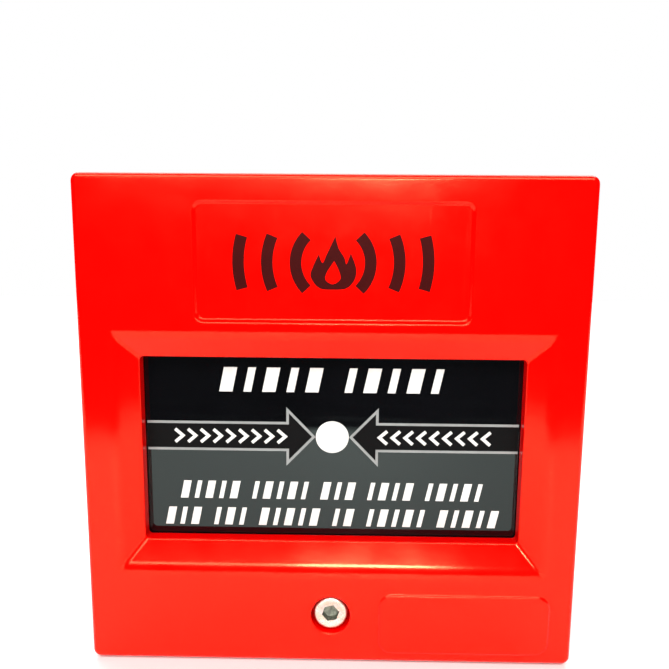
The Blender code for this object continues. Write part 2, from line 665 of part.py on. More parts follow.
def build_chassis(parent):
    plate = block(
        "chassis_plate",
        (-CHASSIS_X, CHASSIS_FRONT_Y, CHASSIS_BOTTOM),
        (CHASSIS_X, CHASSIS_BACK_Y, CHASSIS_TOP),
        CORNER_RADIUS,
    )
    overlap = CHASSIS_THICKNESS / 2
    wall_top = CASE_LOW_Z - GAP
    bracket = block(
        "switch_bracket",
        (CASE_LEFT_X - GAP, CHASSIS_FRONT_Y - SWITCH_BRACKET_HEIGHT, wall_top - SWITCH_BRACKET),
        (CASE_RIGHT_X + GAP, CHASSIS_FRONT_Y + overlap, wall_top),
    )
    join(plate, bracket)
    for x in mirrored(BOARD_HOLE_X):
        for z in (BOARD_BOTTOM + BOARD_HOLE_INSET, BOARD_TOP - BOARD_HOLE_INSET):
            name = f"standoff_{x > 0:d}_{z > (BOARD_BOTTOM + BOARD_TOP) / 2:d}"
            front = CHASSIS_FRONT_Y - BOARD_STANDOFF
            join(plate, rod_y(name, STANDOFF_RADIUS, x, z, CHASSIS_FRONT_Y + overlap, front, SMALL_STEPS))
            cut(plate, rod_y(name + "_hole", M25_SCREW[0] + FIT, x, z, 0, front - WALL, SMALL_STEPS))
    window = block(
        "tab_window",
        (CASE_LEFT_X - GAP, CHASSIS_FRONT_Y - GAP, CASE_LOW_Z),
        (CASE_RIGHT_X + GAP, 0, CASE_HIGH_Z + GAP),
    )
    lead_hole = rod_y("lead_hole", LEAD_HOLE_RADIUS, LEAD_HOLE_X, LEAD_HOLE_Z, 0, SEAM_Y)
    cut(plate, window, lead_hole)
    for x in mirrored(POST_X):
        for z in (POST_BOTTOM, POST_TOP):
            hole = rod_y(f"chassis_hole_{x > 0:d}_{z > 0:d}", M3_SCREW[0] + FIT, x, z, 0, SEAM_Y, SMALL_STEPS)
            cut(plate, hole)
            seat = (x, CHASSIS_FRONT_Y - GAP, z)
            label = ("lower" if z == POST_BOTTOM else "upper") + ("_left" if x < 0 else "_right")
            length = -CHASSIS_FRONT_Y + GAP - WALL - GAP
            screw_piece(f"chassis_screw_{label}", M3_SCREW, length, seat, FACING_FRONT, parent)
    for x in mirrored(WALL_FIXING_SPACING / 2):
        cut(plate, rod_y(f"access_hole_{x > 0:d}", ACCESS_RADIUS, x, 0, 0, SEAM_Y))
    for x in bridge_screw_places():
        cut(plate, rod_y(f"bridge_hole_{x > 0:d}", M2_SCREW[0] + FIT, x, PRESS_Z, 0, SEAM_Y, SMALL_STEPS))
    for x in switch_screw_places():
        hole = rod(
            f"bracket_hole_{x > CASE_LEFT_X + SWITCH_LENGTH / 2:d}",
            M2_SCREW[0] + FIT,
            4 * SWITCH_BRACKET,
            (x, CASE_BACK_Y - SWITCH_HOLE_HEIGHT, wall_top - 3 * SWITCH_BRACKET),
            FACING_UP,
            SMALL_STEPS,
        )
        cut(plate, hole)
    return finish_piece(plate, "white_plastic", parent, smooth=True)


def build_board(parent):
    board = block(
        "circuit_board",
        (-BOARD_WIDTH / 2, BOARD_FRONT_Y, BOARD_BOTTOM),
        (BOARD_WIDTH / 2, BOARD_BACK_Y, BOARD_TOP),
        CORNER_RADIUS / 2,
    )
    for x in mirrored(BOARD_HOLE_X):
        for z in (BOARD_BOTTOM + BOARD_HOLE_INSET, BOARD_TOP - BOARD_HOLE_INSET):
            upper = z > (BOARD_BOTTOM + BOARD_TOP) / 2
            label = ("upper" if upper else "lower") + ("_left" if x < 0 else "_right")
            cut(board, rod_y(f"board_hole_{label}", M25_SCREW[0] + FIT, x, z, 0, SEAM_Y, SMALL_STEPS))
            length = BOARD_THICKNESS + BOARD_STANDOFF + CHASSIS_THICKNESS
            screw_piece(
                f"board_screw_{label}", M25_SCREW, length, (x, BOARD_FRONT_Y - GAP, z), FACING_FRONT, parent
            )
    return finish_piece(board, "board", parent)


def terminal_places():
    first = -TERMINAL_CELL * (TERMINAL_CELLS - 1) / 2
    return [first + i * TERMINAL_CELL for i in range(TERMINAL_CELLS)]


def build_terminal_block(parent):
    half = TERMINAL_CELL * TERMINAL_CELLS / 2
    top = TERMINAL_BOTTOM + TERMINAL_DEPTH
    body = block(
        "terminal_block", (-half, TERMINAL_FRONT_Y, TERMINAL_BOTTOM), (half, TERMINAL_BACK_Y, top)
    )
    screw_z = TERMINAL_BOTTOM + TERMINAL_DEPTH * 0.45
    entry_y = TERMINAL_BACK_Y - TERMINAL_FLOOR
    slot_floor = TERMINAL_FRONT_Y + TERMINAL_SCREW_SUNK + TERMINAL_SLOT_DEPTH
    for i, x in enumerate(terminal_places()):
        entry = block(
            f"wire_entry_{i}",
            (x - TERMINAL_ENTRY / 2, entry_y - TERMINAL_ENTRY, TERMINAL_BOTTOM - WALL),
            (x + TERMINAL_ENTRY / 2, entry_y, TERMINAL_BOTTOM + TERMINAL_DEPTH * 0.75),
        )
        shaft = rod_y(
            f"clamp_shaft_{i}",
            TERMINAL_SCREW_RADIUS + FIT,
            x,
            screw_z,
            entry_y - TERMINAL_ENTRY / 2,
            SEAM_Y - TERMINAL_HEIGHT,
            SMALL_STEPS,
        )
        cut(body, entry, shaft)
        screw = turned_piece(
            f"terminal_screw_{i + 1}",
            [
                (0, 0),
                (TERMINAL_SCREW_RADIUS, 0),
                (TERMINAL_SCREW_RADIUS, -TERMINAL_HEIGHT * 0.5),
                (0, -TERMINAL_HEIGHT * 0.5),
            ],
            (x, TERMINAL_FRONT_Y + TERMINAL_SCREW_SUNK, screw_z),
            FACING_FRONT,
            steps=SMALL_STEPS,
        )
        slot = block(
            f"terminal_screw_slot_{i}",
            (x - 2 * TERMINAL_SCREW_RADIUS, TERMINAL_FRONT_Y - GAP, screw_z - TERMINAL_SLOT_WIDTH / 2),
            (x + 2 * TERMINAL_SCREW_RADIUS, slot_floor, screw_z + TERMINAL_SLOT_WIDTH / 2),
        )
        cut(screw, slot)
        finish_piece(screw, "steel", parent, smooth=True)
    return finish_piece(body, "green_plastic", parent)


def build_resistor(name, z, parent):
    """An axial resistor: a waisted body on a lead whose two ends bend down to the board."""
    axis_y = BOARD_FRONT_Y - RESISTOR_LIFT - RESISTOR_RADIUS
    half = RESISTOR_LENGTH / 2
    r = RESISTOR_RADIUS
    cap = half - RESISTOR_CAP
    edge = RESISTOR_EDGE
    profile = [(0, half), (r * 0.8, half), (r, half - edge), (r, cap), (r * 0.85, cap - edge)]
    profile += [(radius, -height) for radius, height in reversed(profile)]
    body = turned_piece(name, profile, (0, axis_y, z), ALONG_X, steps=SMALL_STEPS)
    reach = RESISTOR_SPAN / 2
    foot = BOARD_FRONT_Y - GAP
    bend = RESISTOR_BEND
    corner = [(math.sin(t), math.cos(t)) for t in [i * math.pi / 8 for i in range(5)]]
    right = [(reach - bend + bend * s, axis_y + bend - bend * c, z) for s, c in corner] + [(reach, foot, z)]
    left = [(-x, y, height) for x, y, height in reversed(right)]
    lead = curve_to_mesh(wire_curve(name + "_lead", left + right, RESISTOR_LEAD))
    join(body, lead)
    return finish_piece(body, "resistor", parent, smooth=True)


# ---------------------------------------------------------------- microswitch


def switch_screw_places():
    middle = CASE_LEFT_X + SWITCH_LENGTH / 2
    return (middle - SWITCH_HOLE_SPACING / 2, middle + SWITCH_HOLE_SPACING / 2)


def build_switch_case(parent):
    case = block(
        "switch_case",
        (CASE_LEFT_X, CASE_FRONT_Y, CASE_LOW_Z),
        (CASE_RIGHT_X, CASE_BACK_Y, CASE_HIGH_Z),
        SWITCH_CORNER,
    )
    ear_low = PRESS_Z + LEVER_WIDTH / 2 + FIT
    ear_thickness = CASE_HIGH_Z - ear_low
    for side in (-1, 1):
        z = ear_low if side > 0 else 2 * PRESS_Z - CASE_HIGH_Z
        upright = block(
            f"ear_root_{side > 0:d}",
            (PIVOT_X - LEVER_BARREL * 0.9, PIVOT_Y, z + EAR_INSET),
            (PIVOT_X + LEVER_BARREL * 0.9, CASE_FRONT_Y + GAP, z + ear_thickness - EAR_INSET),
        )
        ear = rod(
            f"ear_{side > 0:d}",
            LEVER_BARREL,
            ear_thickness - 2 * EAR_INSET,
            (PIVOT_X, PIVOT_Y, z + EAR_INSET),
            FACING_UP,
            SMALL_STEPS,
        )
        join(case, upright, ear)
    pin_hole = rod(
        "lever_pin_hole",
        LEVER_PIN_RADIUS + FIT,
        2 * SWITCH_WIDTH,
        (PIVOT_X, PIVOT_Y, PRESS_Z - SWITCH_WIDTH),
        FACING_UP,
        SMALL_STEPS,
    )
    button_depth = BUTTON_TIP_Y + BUTTON_BURIED + BUTTON_TRAVEL + BUTTON_WELL
    button_x = PIVOT_X + BUTTON_ARM
    button_hole = rod_y(
        "button_hole", BUTTON_RADIUS + FIT, button_x, PRESS_Z, button_depth, SEAM_Y * 2, SMALL_STEPS
    )
    cut(case, pin_hole, button_hole)
    hole_y = CASE_BACK_Y - SWITCH_HOLE_HEIGHT
    for i, x in enumerate(switch_screw_places()):
        start = (x, hole_y, PRESS_Z - SWITCH_WIDTH)
        cut(case, rod(f"case_hole_{i}", M2_SCREW[0] + FIT, 2 * SWITCH_WIDTH, start, FACING_UP, SMALL_STEPS))
        label = ("left", "right")[i]
        nut_top = CASE_LOW_Z - 2 * GAP - SWITCH_BRACKET
        screw_length = SWITCH_WIDTH + SWITCH_BRACKET + NUT_HEIGHT + 4 * GAP
        screw_piece(
            f"switch_screw_{label}", M2_SCREW, screw_length, (x, hole_y, CASE_HIGH_Z + GAP), FACING_UP, parent
        )
        radius = NUT_ACROSS_FLATS / math.sqrt(3)
        nut = rod(f"switch_nut_{label}", radius, NUT_HEIGHT, (x, hole_y, nut_top - NUT_HEIGHT), FACING_UP, 6)
        nut_bore = rod(
            f"nut_bore_{label}",
            M2_SCREW[0] + FIT,
            3 * NUT_HEIGHT,
            (x, hole_y, nut_top - 2 * NUT_HEIGHT),
            FACING_UP,
            SMALL_STEPS,
        )
        cut(nut, nut_bore)
        finish_piece(nut, "steel", parent)
    return finish_piece(case, "switch_case", parent, smooth=True)


def build_switch_tabs(parent):
    middle = CASE_LEFT_X + SWITCH_LENGTH / 2
    for i, label in enumerate(("common", "normally_open", "normally_closed")):
        x = middle + (i - 1) * TAB_SPACING
        start = CASE_BACK_Y + GAP
        tab = block(
            f"switch_tab_{label}",
            (x - TAB_THICKNESS / 2, start, PRESS_Z - TAB_WIDTH / 2),
            (x + TAB_THICKNESS / 2, start + TAB_LENGTH, PRESS_Z + TAB_WIDTH / 2),
        )
        eye = rod_x(
            f"tab_eye_{label}",
            TAB_HOLE_RADIUS,
            x - TAB_WIDTH,
            x + TAB_WIDTH,
            start + TAB_LENGTH - TAB_EYE_INSET,
            PRESS_Z,
            SMALL_STEPS,
        )
        cut(tab, eye)
        finish_piece(tab, "brass", parent)


def build_lever_pin(parent):
    length = SWITCH_WIDTH - 2 * FIT
    start = (PIVOT_X, PIVOT_Y, PRESS_Z - length / 2)
    pin = rod("switch_lever_pin", LEVER_PIN_RADIUS, length, start, FACING_UP, SMALL_STEPS)
    return finish_piece(pin, "steel", parent, smooth=True)


def build_lever(parent):
    """The leaf lever. It is modelled pressed flat about its pivot and then turned out to its rest angle."""
    half = LEVER_WIDTH / 2
    lever = rod("switch_lever", LEVER_BARREL, LEVER_WIDTH, (PIVOT_X, PIVOT_Y, PRESS_Z - half), FACING_UP)
    strip = block(
        "lever_strip", (0, STRIP_OFFSET - LEVER_THICKNESS, -half), (LEVER_LENGTH, STRIP_OFFSET, half)
    )
    strip.location += Vector((PIVOT_X, PIVOT_Y, PRESS_Z))
    bore = rod(
        "lever_bore",
        LEVER_PIN_RADIUS + FIT,
        4 * half,
        (PIVOT_X, PIVOT_Y, PRESS_Z - 2 * half),
        FACING_UP,
        SMALL_STEPS,
    )
    pivot = Matrix.Translation((PIVOT_X, PIVOT_Y, PRESS_Z))
    swing = pivot @ Matrix.Rotation(-LEVER_ANGLE, 4, "Z") @ pivot.inverted()
    bpy.context.view_layer.update()
    for item in (lever, strip, bore):
        item.matrix_world = swing @ item.matrix_world
    join(lever, strip)
    cut(lever, bore)
    return finish_piece(lever, "steel", parent, smooth=True)


def build_button(parent):
    length = BUTTON_BURIED + CASE_FRONT_Y - BUTTON_TIP_Y
    profile = [
        (0, length),
        (BUTTON_RADIUS - BUTTON_EDGE, length),
        (BUTTON_RADIUS, length - BUTTON_EDGE),
        (BUTTON_RADIUS, 0),
        (0, 0),
    ]
    start = (PIVOT_X + BUTTON_ARM, BUTTON_TIP_Y + length, PRESS_Z)
    button = turned_piece("switch_button", profile, start, FACING_FRONT, steps=SMALL_STEPS)
    return finish_piece(button, "switch_button", parent, smooth=True)


# ---------------------------------------------------------------- plunger and bridge


def bridge_screw_places():
    return (BRIDGE_LEFT_X - BRIDGE_FOOT / 2, BRIDGE_RIGHT_X + BRIDGE_FOOT / 2)


def build_bridge(parent):
    low = PRESS_Z - BRIDGE_WIDTH / 2
    high = PRESS_Z + BRIDGE_WIDTH / 2
    foot_back = CHASSIS_FRONT_Y - GAP
    foot_front = foot_back - BRIDGE_FOOT_THICKNESS
    beam = block("plunger_bridge", (BRIDGE_LEFT_X, BRIDGE_FRONT_Y, low), (BRIDGE_RIGHT_X, BRIDGE_BACK_Y, high))
    inner = BRIDGE_BACK_Y - BRIDGE_THICKNESS / 2
    left_leg = block("left_leg", (BRIDGE_LEFT_X, inner, low), (BRIDGE_LEFT_X + BRIDGE_LEG, foot_back, high))
    right_leg = block("right_leg", (BRIDGE_RIGHT_X - BRIDGE_LEG, inner, low), (BRIDGE_RIGHT_X, foot_back, high))
    left_foot = block(
        "left_foot",
        (BRIDGE_LEFT_X - BRIDGE_FOOT, foot_front, low),
        (BRIDGE_LEFT_X + BRIDGE_LEG / 2, foot_back, high),
    )
    right_foot = block(
        "right_foot",
        (BRIDGE_RIGHT_X - BRIDGE_LEG / 2, foot_front, low),
        (BRIDGE_RIGHT_X + BRIDGE_FOOT, foot_back, high),
    )
    eye = rod_y("bridge_eye", BRIDGE_EYE_RADIUS, 0, PRESS_Z, BRIDGE_BACK_Y, BRIDGE_FRONT_Y)
    join(beam, left_leg, right_leg, left_foot, right_foot, eye)
    cut(beam, rod_y("bridge_bore", PLUNGER_STEM_RADIUS + FIT, 0, PRESS_Z, 0, FRONT_Y))
    for i, x in enumerate(bridge_screw_places()):
        cut(beam, rod_y(f"foot_hole_{i}", M2_SCREW[0] + FIT, x, PRESS_Z, 0, SEAM_Y, SMALL_STEPS))
        length = BRIDGE_FOOT_THICKNESS + CHASSIS_THICKNESS + GAP
        seat = (x, foot_front - GAP, PRESS_Z)
        screw_piece(f"bridge_screw_{('left', 'right')[i]}", M2_SCREW, length, seat, FACING_FRONT, parent)
    return finish_piece(beam, "black_plastic", parent, smooth=True)


def build_plunger(parent):
    top = PLUNGER_TIP_Y - PLUNGER_FRONT_Y
    head_back = PLUNGER_TIP_Y - PLUNGER_HEAD_BACK_Y
    flange_front = PLUNGER_TIP_Y - PLUNGER_FLANGE_FRONT_Y
    flange_back = PLUNGER_TIP_LENGTH
    profile = [
        (0, top),
        (PLUNGER_HEAD_RADIUS - PLUNGER_EDGE, top),
        (PLUNGER_HEAD_RADIUS, top - PLUNGER_EDGE),
        (PLUNGER_HEAD_RADIUS, head_back),
        (PLUNGER_STEM_RADIUS, head_back),
        (PLUNGER_STEM_RADIUS, flange_front),
        (PLUNGER_FLANGE_RADIUS, flange_front),
        (PLUNGER_FLANGE_RADIUS, flange_back),
        (PLUNGER_TIP_RADIUS, flange_back),
        (PLUNGER_TIP_RADIUS, 0),
        (0, 0),
    ]
    item = turned_piece("plunger", profile, (0, PLUNGER_TIP_Y, PRESS_Z), FACING_FRONT)
    return finish_piece(item, "white_plastic", parent, smooth=True)


# ---------------------------------------------------------------- leads


def lead_route(start, end):
    """From a switch tab back behind the chassis, up, and forward to the board, with rounded corners."""
    x0, y0, z0 = start
    x1, y1, z1 = end
    deep = (CHASSIS_BACK_Y - WALL) / 2
    turn = LEAD_BEND
    points = [start, (x0, deep - turn, z0)]
    quarter = [i * math.pi / 8 for i in range(1, 5)]
    points += [(x0, deep - turn * (1 - math.sin(t)), z0 + turn * (1 - math.cos(t))) for t in quarter]
    rise_from = z0 + turn
    rise_to = z1 - turn
    steps = 8
    for i in range(1, steps):
        share = i / steps
        ease = 0.5 - 0.5 * math.cos(math.pi * share)
        points.append((x0 + (x1 - x0) * ease, deep, rise_from + (rise_to - rise_from) * share))
    points.append((x1, deep, rise_to))
    points += [(x1, deep - turn * (1 - math.cos(t)), rise_to + turn * math.sin(t)) for t in quarter]
    points.append(end)
    return points


def build_leads(parent):
    middle = CASE_LEFT_X + SWITCH_LENGTH / 2
    start_y = CASE_BACK_Y + GAP + TAB_LENGTH + GAP
    end_y = BOARD_BACK_Y + GAP
    for side, name, colour in ((-1, "switch_lead_common", "lead_black"), (1, "switch_lead_closed", "lead_red")):
        start = (middle + side * TAB_SPACING, start_y, PRESS_Z)
        end = (LEAD_HOLE_X + side * LEAD_SPACING / 2, end_y, LEAD_HOLE_Z)
        finish_piece(wire_curve(name, lead_route(start, end), LEAD_RADIUS), colour, parent)


# ---------------------------------------------------------------- cover


def window_slope():
    """The cutter for the sloped band round the window: its front edge stands out by the slope's width."""
    over = GAP
    front_width = SLOPE_WIDTH * (1 + over / SLOPE_DEPTH)
    low = (-WINDOW_X, FRONT_Y - over, WINDOW_BOTTOM)
    high = (WINDOW_X, FRONT_Y + SLOPE_DEPTH, WINDOW_TOP)
    item = block("window_slope", low, high)
    for corner in item.data.vertices:
        if corner.co.y < 0:
            corner.co.x += math.copysign(front_width, corner.co.x)
            corner.co.z += math.copysign(front_width, corner.co.z)
    return item


def retainer_boss_places():
    return [(x, z) for x in mirrored(RETAINER_BOSS_X) for z in (RETAINER_BOSS_BOTTOM, RETAINER_BOSS_TOP)]


def build_front_cover(parent):
    cover = block(
        "front_cover",
        (-HALF_X, FRONT_Y, -HALF_Z),
        (HALF_X, SEAM_Y - SEAM_GAP / 2, HALF_Z),
        CORNER_RADIUS,
        FRONT_EDGE_RADIUS,
    )
    inner_x = HALF_X - WALL
    inner_z = HALF_Z - WALL
    hollow = block(
        "cover_hollow", (-inner_x, FRONT_Y + WALL, -inner_z), (inner_x, 0, inner_z), CORNER_RADIUS / 2
    )
    cut(cover, hollow)

    rim = block(
        "window_rim",
        (-WINDOW_X - RIM_WALL, FRONT_Y + WALL / 2, WINDOW_BOTTOM - RIM_WALL),
        (WINDOW_X + RIM_WALL, RIM_BACK_Y, WINDOW_TOP + RIM_WALL),
    )
    screw_boss = rod_y("screw_boss", SCREW_BOSS_RADIUS, 0, SCREW_Z, SCREW_BOSS_BACK_Y, FRONT_Y + WALL / 2)
    bead = rod_x("hinge_bead", HINGE_RADIUS, -HALF_X + FIT, HALF_X - FIT, SEAM_Y, HINGE_Z)
    join(cover, rim, screw_boss, bead)
    for i, (x, z) in enumerate(retainer_boss_places()):
        boss = rod_y(
            f"retainer_boss_{i}",
            RETAINER_BOSS_RADIUS,
            x,
            z,
            RETAINER_FRONT_Y - GAP,
            FRONT_Y + WALL / 2,
            SMALL_STEPS,
        )
        hole = rod_y(
            f"retainer_pilot_{i}",
            M25_SCREW[0] + FIT,
            x,
            z,
            SEAM_Y,
            RETAINER_BACK_Y - RETAINER_SCREW_LENGTH - RETAINER_PILOT_SPARE,
            SMALL_STEPS,
        )
        join(cover, boss)
        cut(cover, hole)
    pad_right = HALF_X - PAD_SIDE_BAND
    pad_low = -HALF_Z + PAD_BOTTOM_BAND
    pad = block(
        "blank_pad",
        (pad_right - PAD_WIDTH, FRONT_Y - PAD_RELIEF, pad_low),
        (pad_right, FRONT_Y + WALL / 2, pad_low + PAD_HEIGHT),
        PAD_CORNER,
    )
    join(cover, pad)

    opening = block(
        "window_opening", (-WINDOW_X, FRONT_Y - WALL, WINDOW_BOTTOM), (WINDOW_X, SEAM_Y, WINDOW_TOP)
    )
    panel_top = HALF_Z - PANEL_TOP_BAND
    panel = block(
        "sign_panel",
        (-PANEL_WIDTH / 2, FRONT_Y - WALL, panel_top - PANEL_HEIGHT),
        (PANEL_WIDTH / 2, FRONT_Y + PANEL_DEPTH, panel_top),
        PANEL_CORNER,
    )
    counterbore = rod_y(
        "counterbore", COUNTERBORE_RADIUS, 0, SCREW_Z, SCREW_HEAD_BACK_Y + GAP, FRONT_Y - WALL
    )
    screw_way = rod_y("screw_way", SCREW_SHANK_RADIUS + GAP, 0, SCREW_Z, 0, FRONT_Y - WALL)
    cut(cover, opening, window_slope(), panel, counterbore, screw_way)

    for x in mirrored(KNUCKLE_X):
        notch_half = KNUCKLE_LENGTH / 2 + GAP
        notch = block(
            f"knuckle_notch_{x > 0:d}",
            (x - notch_half, SEAM_Y - HINGE_RADIUS - GAP, HINGE_Z - HINGE_RADIUS - WALL),
            (x + notch_half, 0, HALF_Z + WALL),
        )
        inner_end = (abs(x) - PIN_REACH) * math.copysign(1, x)
        outer_end = (HALF_X + WALL) * math.copysign(1, x)
        bore = rod_x(
            f"pin_bore_{x > 0:d}",
            HINGE_PIN_RADIUS + FIT,
            min(inner_end, outer_end),
            max(inner_end, outer_end),
            SEAM_Y,
            HINGE_Z,
            SMALL_STEPS,
        )
        cut(cover, notch, bore)
    return finish_piece(cover, "red_plastic", parent, smooth=True)


def build_hinge_pins(parent):
    for side, label in ((-1, "left"), (1, "right")):
        inner_end = side * (KNUCKLE_X - PIN_REACH + GAP)
        outer_end = side * (HALF_X - PIN_END_INSET)
        pin = rod_x(
            f"hinge_pin_{label}",
            HINGE_PIN_RADIUS,
            min(inner_end, outer_end),
            max(inner_end, outer_end),
            SEAM_Y,
            HINGE_Z,
            SMALL_STEPS,
        )
        finish_piece(pin, "steel", parent, smooth=True)


def build_cover_screw(parent):
    """The captive socket screw. Heights are measured forward from its tip."""
    head_top = SCREW_TIP_Y - SCREW_HEAD_FRONT_Y
    head_back = SCREW_TIP_Y - SCREW_HEAD_BACK_Y
    groove_front = SCREW_TIP_Y - CLIP_FRONT_Y + FIT
    groove_back = SCREW_TIP_Y - CLIP_BACK_Y - FIT
    profile = [
        (0, head_top),
        (SCREW_HEAD_RADIUS - SCREW_EDGE, head_top),
        (SCREW_HEAD_RADIUS, head_top - SCREW_EDGE),
        (SCREW_HEAD_RADIUS, head_back),
        (SCREW_SHANK_RADIUS, head_back),
        (SCREW_SHANK_RADIUS, groove_front),
        (CLIP_GROOVE_RADIUS, groove_front),
        (CLIP_GROOVE_RADIUS, groove_back),
        (SCREW_SHANK_RADIUS, groove_back),
        (SCREW_SHANK_RADIUS, 2 * SCREW_EDGE),
        (SCREW_SHANK_RADIUS - 2 * SCREW_EDGE, 0),
        (0, 0),
    ]
    screw = turned_piece("cover_screw", profile, (0, SCREW_TIP_Y, SCREW_Z), FACING_FRONT)
    socket = rod_y(
        "screw_socket",
        SCREW_SOCKET_WIDTH / math.sqrt(3),
        0,
        SCREW_Z,
        SCREW_HEAD_FRONT_Y + SCREW_SOCKET_DEPTH,
        SCREW_HEAD_FRONT_Y - WALL,
        6,
    )
    cut(screw, socket)
    return finish_piece(screw, "steel", parent, smooth=True)


def build_screw_clip(parent):
    clip = ring_piece(
        "screw_clip",
        CLIP_RADIUS,
        CLIP_GROOVE_RADIUS + FIT,
        CLIP_THICKNESS,
        (0, CLIP_BACK_Y, SCREW_Z),
        FACING_FRONT,
    )
    return finish_piece(clip, "spring_steel", parent, smooth=True)


# ---------------------------------------------------------------- glass and what carries it


def glass_spring_places():
    x = GLASS_X + CARRIER_RIM + GAP - GLASS_SPRING_INSET / 2
    z_low = GLASS_BOTTOM + GLASS_SPRING_INSET
    z_high = GLASS_TOP - GLASS_SPRING_INSET
    rows = (("lower", z_low), ("upper", z_high))
    return [(f"{row}_{side}", at_x, z) for row, z in rows for side, at_x in (("left", -x), ("right", x))]


def build_glass(parent):
    low = (-GLASS_X, GLASS_FRONT_Y, GLASS_BOTTOM)
    high = (GLASS_X, GLASS_BACK_Y, GLASS_TOP)
    pane = block("glass_pane", low, high, GLASS_CORNER)
    return finish_piece(pane, "glass", parent)


def build_glass_carrier(parent):
    pocket_x = GLASS_X + GAP
    pocket_low = GLASS_BOTTOM - GAP
    pocket_high = GLASS_TOP + GAP
    frame = block(
        "glass_carrier",
        (-pocket_x - CARRIER_RIM, GLASS_FRONT_Y + GAP, pocket_low - CARRIER_RIM),
        (pocket_x + CARRIER_RIM, CARRIER_BACK_Y, pocket_high + CARRIER_RIM),
        CARRIER_RIM,
    )
    pocket = block(
        "glass_pocket",
        (-pocket_x, FRONT_Y, pocket_low),
        (pocket_x, CARRIER_FRONT_Y, pocket_high),
        GLASS_CORNER,
    )
    light = block(
        "carrier_light",
        (-pocket_x + CARRIER_BAR, FRONT_Y, pocket_low + CARRIER_BAR),
        (pocket_x - CARRIER_BAR, 0, pocket_high - CARRIER_BAR),
    )
    cut(frame, pocket, light)
    for label, x, z in glass_spring_places():
        peg_front = CARRIER_BACK_Y - CARRIER_FLOOR / 2
        peg_back = CARRIER_BACK_Y + PEG_HEIGHT
        join(frame, rod_y(f"carrier_peg_{label}", PEG_RADIUS, x, z, peg_back, peg_front, SMALL_STEPS))
    return finish_piece(frame, "black_plastic", parent, smooth=True)


def build_glass_retainer(parent):
    half_x = GLASS_X + CARRIER_RIM
    low = RETAINER_BOSS_BOTTOM - RETAINER_BOSS_RADIUS - RETAINER_CLEARANCE
    high = RETAINER_BOSS_TOP + RETAINER_BOSS_RADIUS + RETAINER_CLEARANCE
    plate = block(
        "glass_retainer",
        (-half_x, RETAINER_FRONT_Y, low),
        (half_x, RETAINER_BACK_Y, high),
        CORNER_RADIUS,
    )
    light = block(
        "retainer_light",
        (-half_x + RETAINER_SIDE_BAR, SEAM_Y - COVER_DEPTH, low + RETAINER_EDGE_BAR),
        (half_x - RETAINER_SIDE_BAR, 0, high - RETAINER_EDGE_BAR),
        CORNER_RADIUS,
    )
    notch_x = SCREW_BOSS_RADIUS + RETAINER_CLEARANCE
    notch = block(
        "screw_notch",
        (-notch_x, SEAM_Y - COVER_DEPTH, low - WALL),
        (notch_x, 0, SCREW_Z + SCREW_BOSS_RADIUS + RETAINER_CLEARANCE),
    )
    cut(plate, light, notch)
    for label, x, z in glass_spring_places():
        peg_back = RETAINER_FRONT_Y + RETAINER_THICKNESS / 2
        peg_front = RETAINER_FRONT_Y - PEG_HEIGHT
        join(plate, rod_y(f"retainer_peg_{label}", PEG_RADIUS, x, z, peg_back, peg_front, SMALL_STEPS))
    for x, z in retainer_boss_places():
        label = ("lower" if z == RETAINER_BOSS_BOTTOM else "upper") + ("_left" if x < 0 else "_right")
        cut(plate, rod_y(f"retainer_hole_{label}", M25_SCREW[0] + FIT, x, z, 0, FRONT_Y, SMALL_STEPS))
        seat = (x, RETAINER_BACK_Y + GAP, z)
        screw_piece(f"retainer_screw_{label}", M25_SCREW, RETAINER_SCREW_LENGTH, seat, FACING_BACK, parent)
    return finish_piece(plate, "black_plastic", parent, smooth=True)


def build_glass_springs(parent):
    for label, x, z in glass_spring_places():
        spring_y(
            f"glass_spring_{label}",
            GLASS_SPRING_RADIUS,
            GLASS_SPRING_WIRE,
            GLASS_SPRING_TURNS,
            x,
            z,
            RETAINER_FRONT_Y,
            CARRIER_BACK_Y,
            parent,
        )


# ---------------------------------------------------------------- assembly


def main():
    back_box = body_empty("back_box_body", (0, 0, 0))
    cover = body_empty("cover_body", (0, SEAM_Y, HINGE_Z))
    clip = body_empty("screw_clip_body", (0, CLIP_BACK_Y, SCREW_Z))
    screw = body_empty("cover_screw_body", (0, SCREW_HEAD_FRONT_Y, SCREW_Z))
    glass = body_empty("glass_body", (0, GLASS_FRONT_Y, PRESS_Z))
    plunger = body_empty("plunger_body", (0, PLUNGER_TIP_Y, PRESS_Z))
    lever = body_empty("lever_body", (PIVOT_X, PIVOT_Y, PRESS_Z))
    button = body_empty("button_body", (PIVOT_X + BUTTON_ARM, BUTTON_TIP_Y, PRESS_Z))

    build_rear_housing(back_box)
    build_cable_grommet(back_box)
    build_screw_insert(back_box)
    build_chassis(back_box)
    build_board(back_box)
    build_terminal_block(back_box)
    resistor_z = TERMINAL_BOTTOM + TERMINAL_DEPTH + RESISTOR_RISE
    build_resistor("alarm_resistor", resistor_z, back_box)
    build_resistor("end_of_line_resistor", resistor_z + RESISTOR_PITCH, back_box)
    build_switch_case(back_box)
    build_switch_tabs(back_box)
    build_lever_pin(back_box)
    build_bridge(back_box)
    build_leads(back_box)
    spring_y(
        "plunger_spring",
        PLUNGER_SPRING_RADIUS,
        PLUNGER_SPRING_WIRE,
        PLUNGER_SPRING_TURNS,
        0,
        PRESS_Z,
        BRIDGE_FRONT_Y,
        PLUNGER_HEAD_BACK_Y,
        back_box,
    )

    build_front_cover(cover)
    build_hinge_pins(cover)
    build_glass_retainer(cover)
    build_glass_springs(cover)
    build_screw_clip(clip)
    build_cover_screw(screw)
    build_glass(glass)
    build_glass_carrier(glass)
    build_plunger(plunger)
    build_lever(lever)
    build_button(button)


main()
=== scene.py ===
"""Manual call point: the finished look of a hinged red cover with a press-in pane, over its back box.

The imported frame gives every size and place. Metres, +Z up, and the front face looks along -Y.
"""

import math

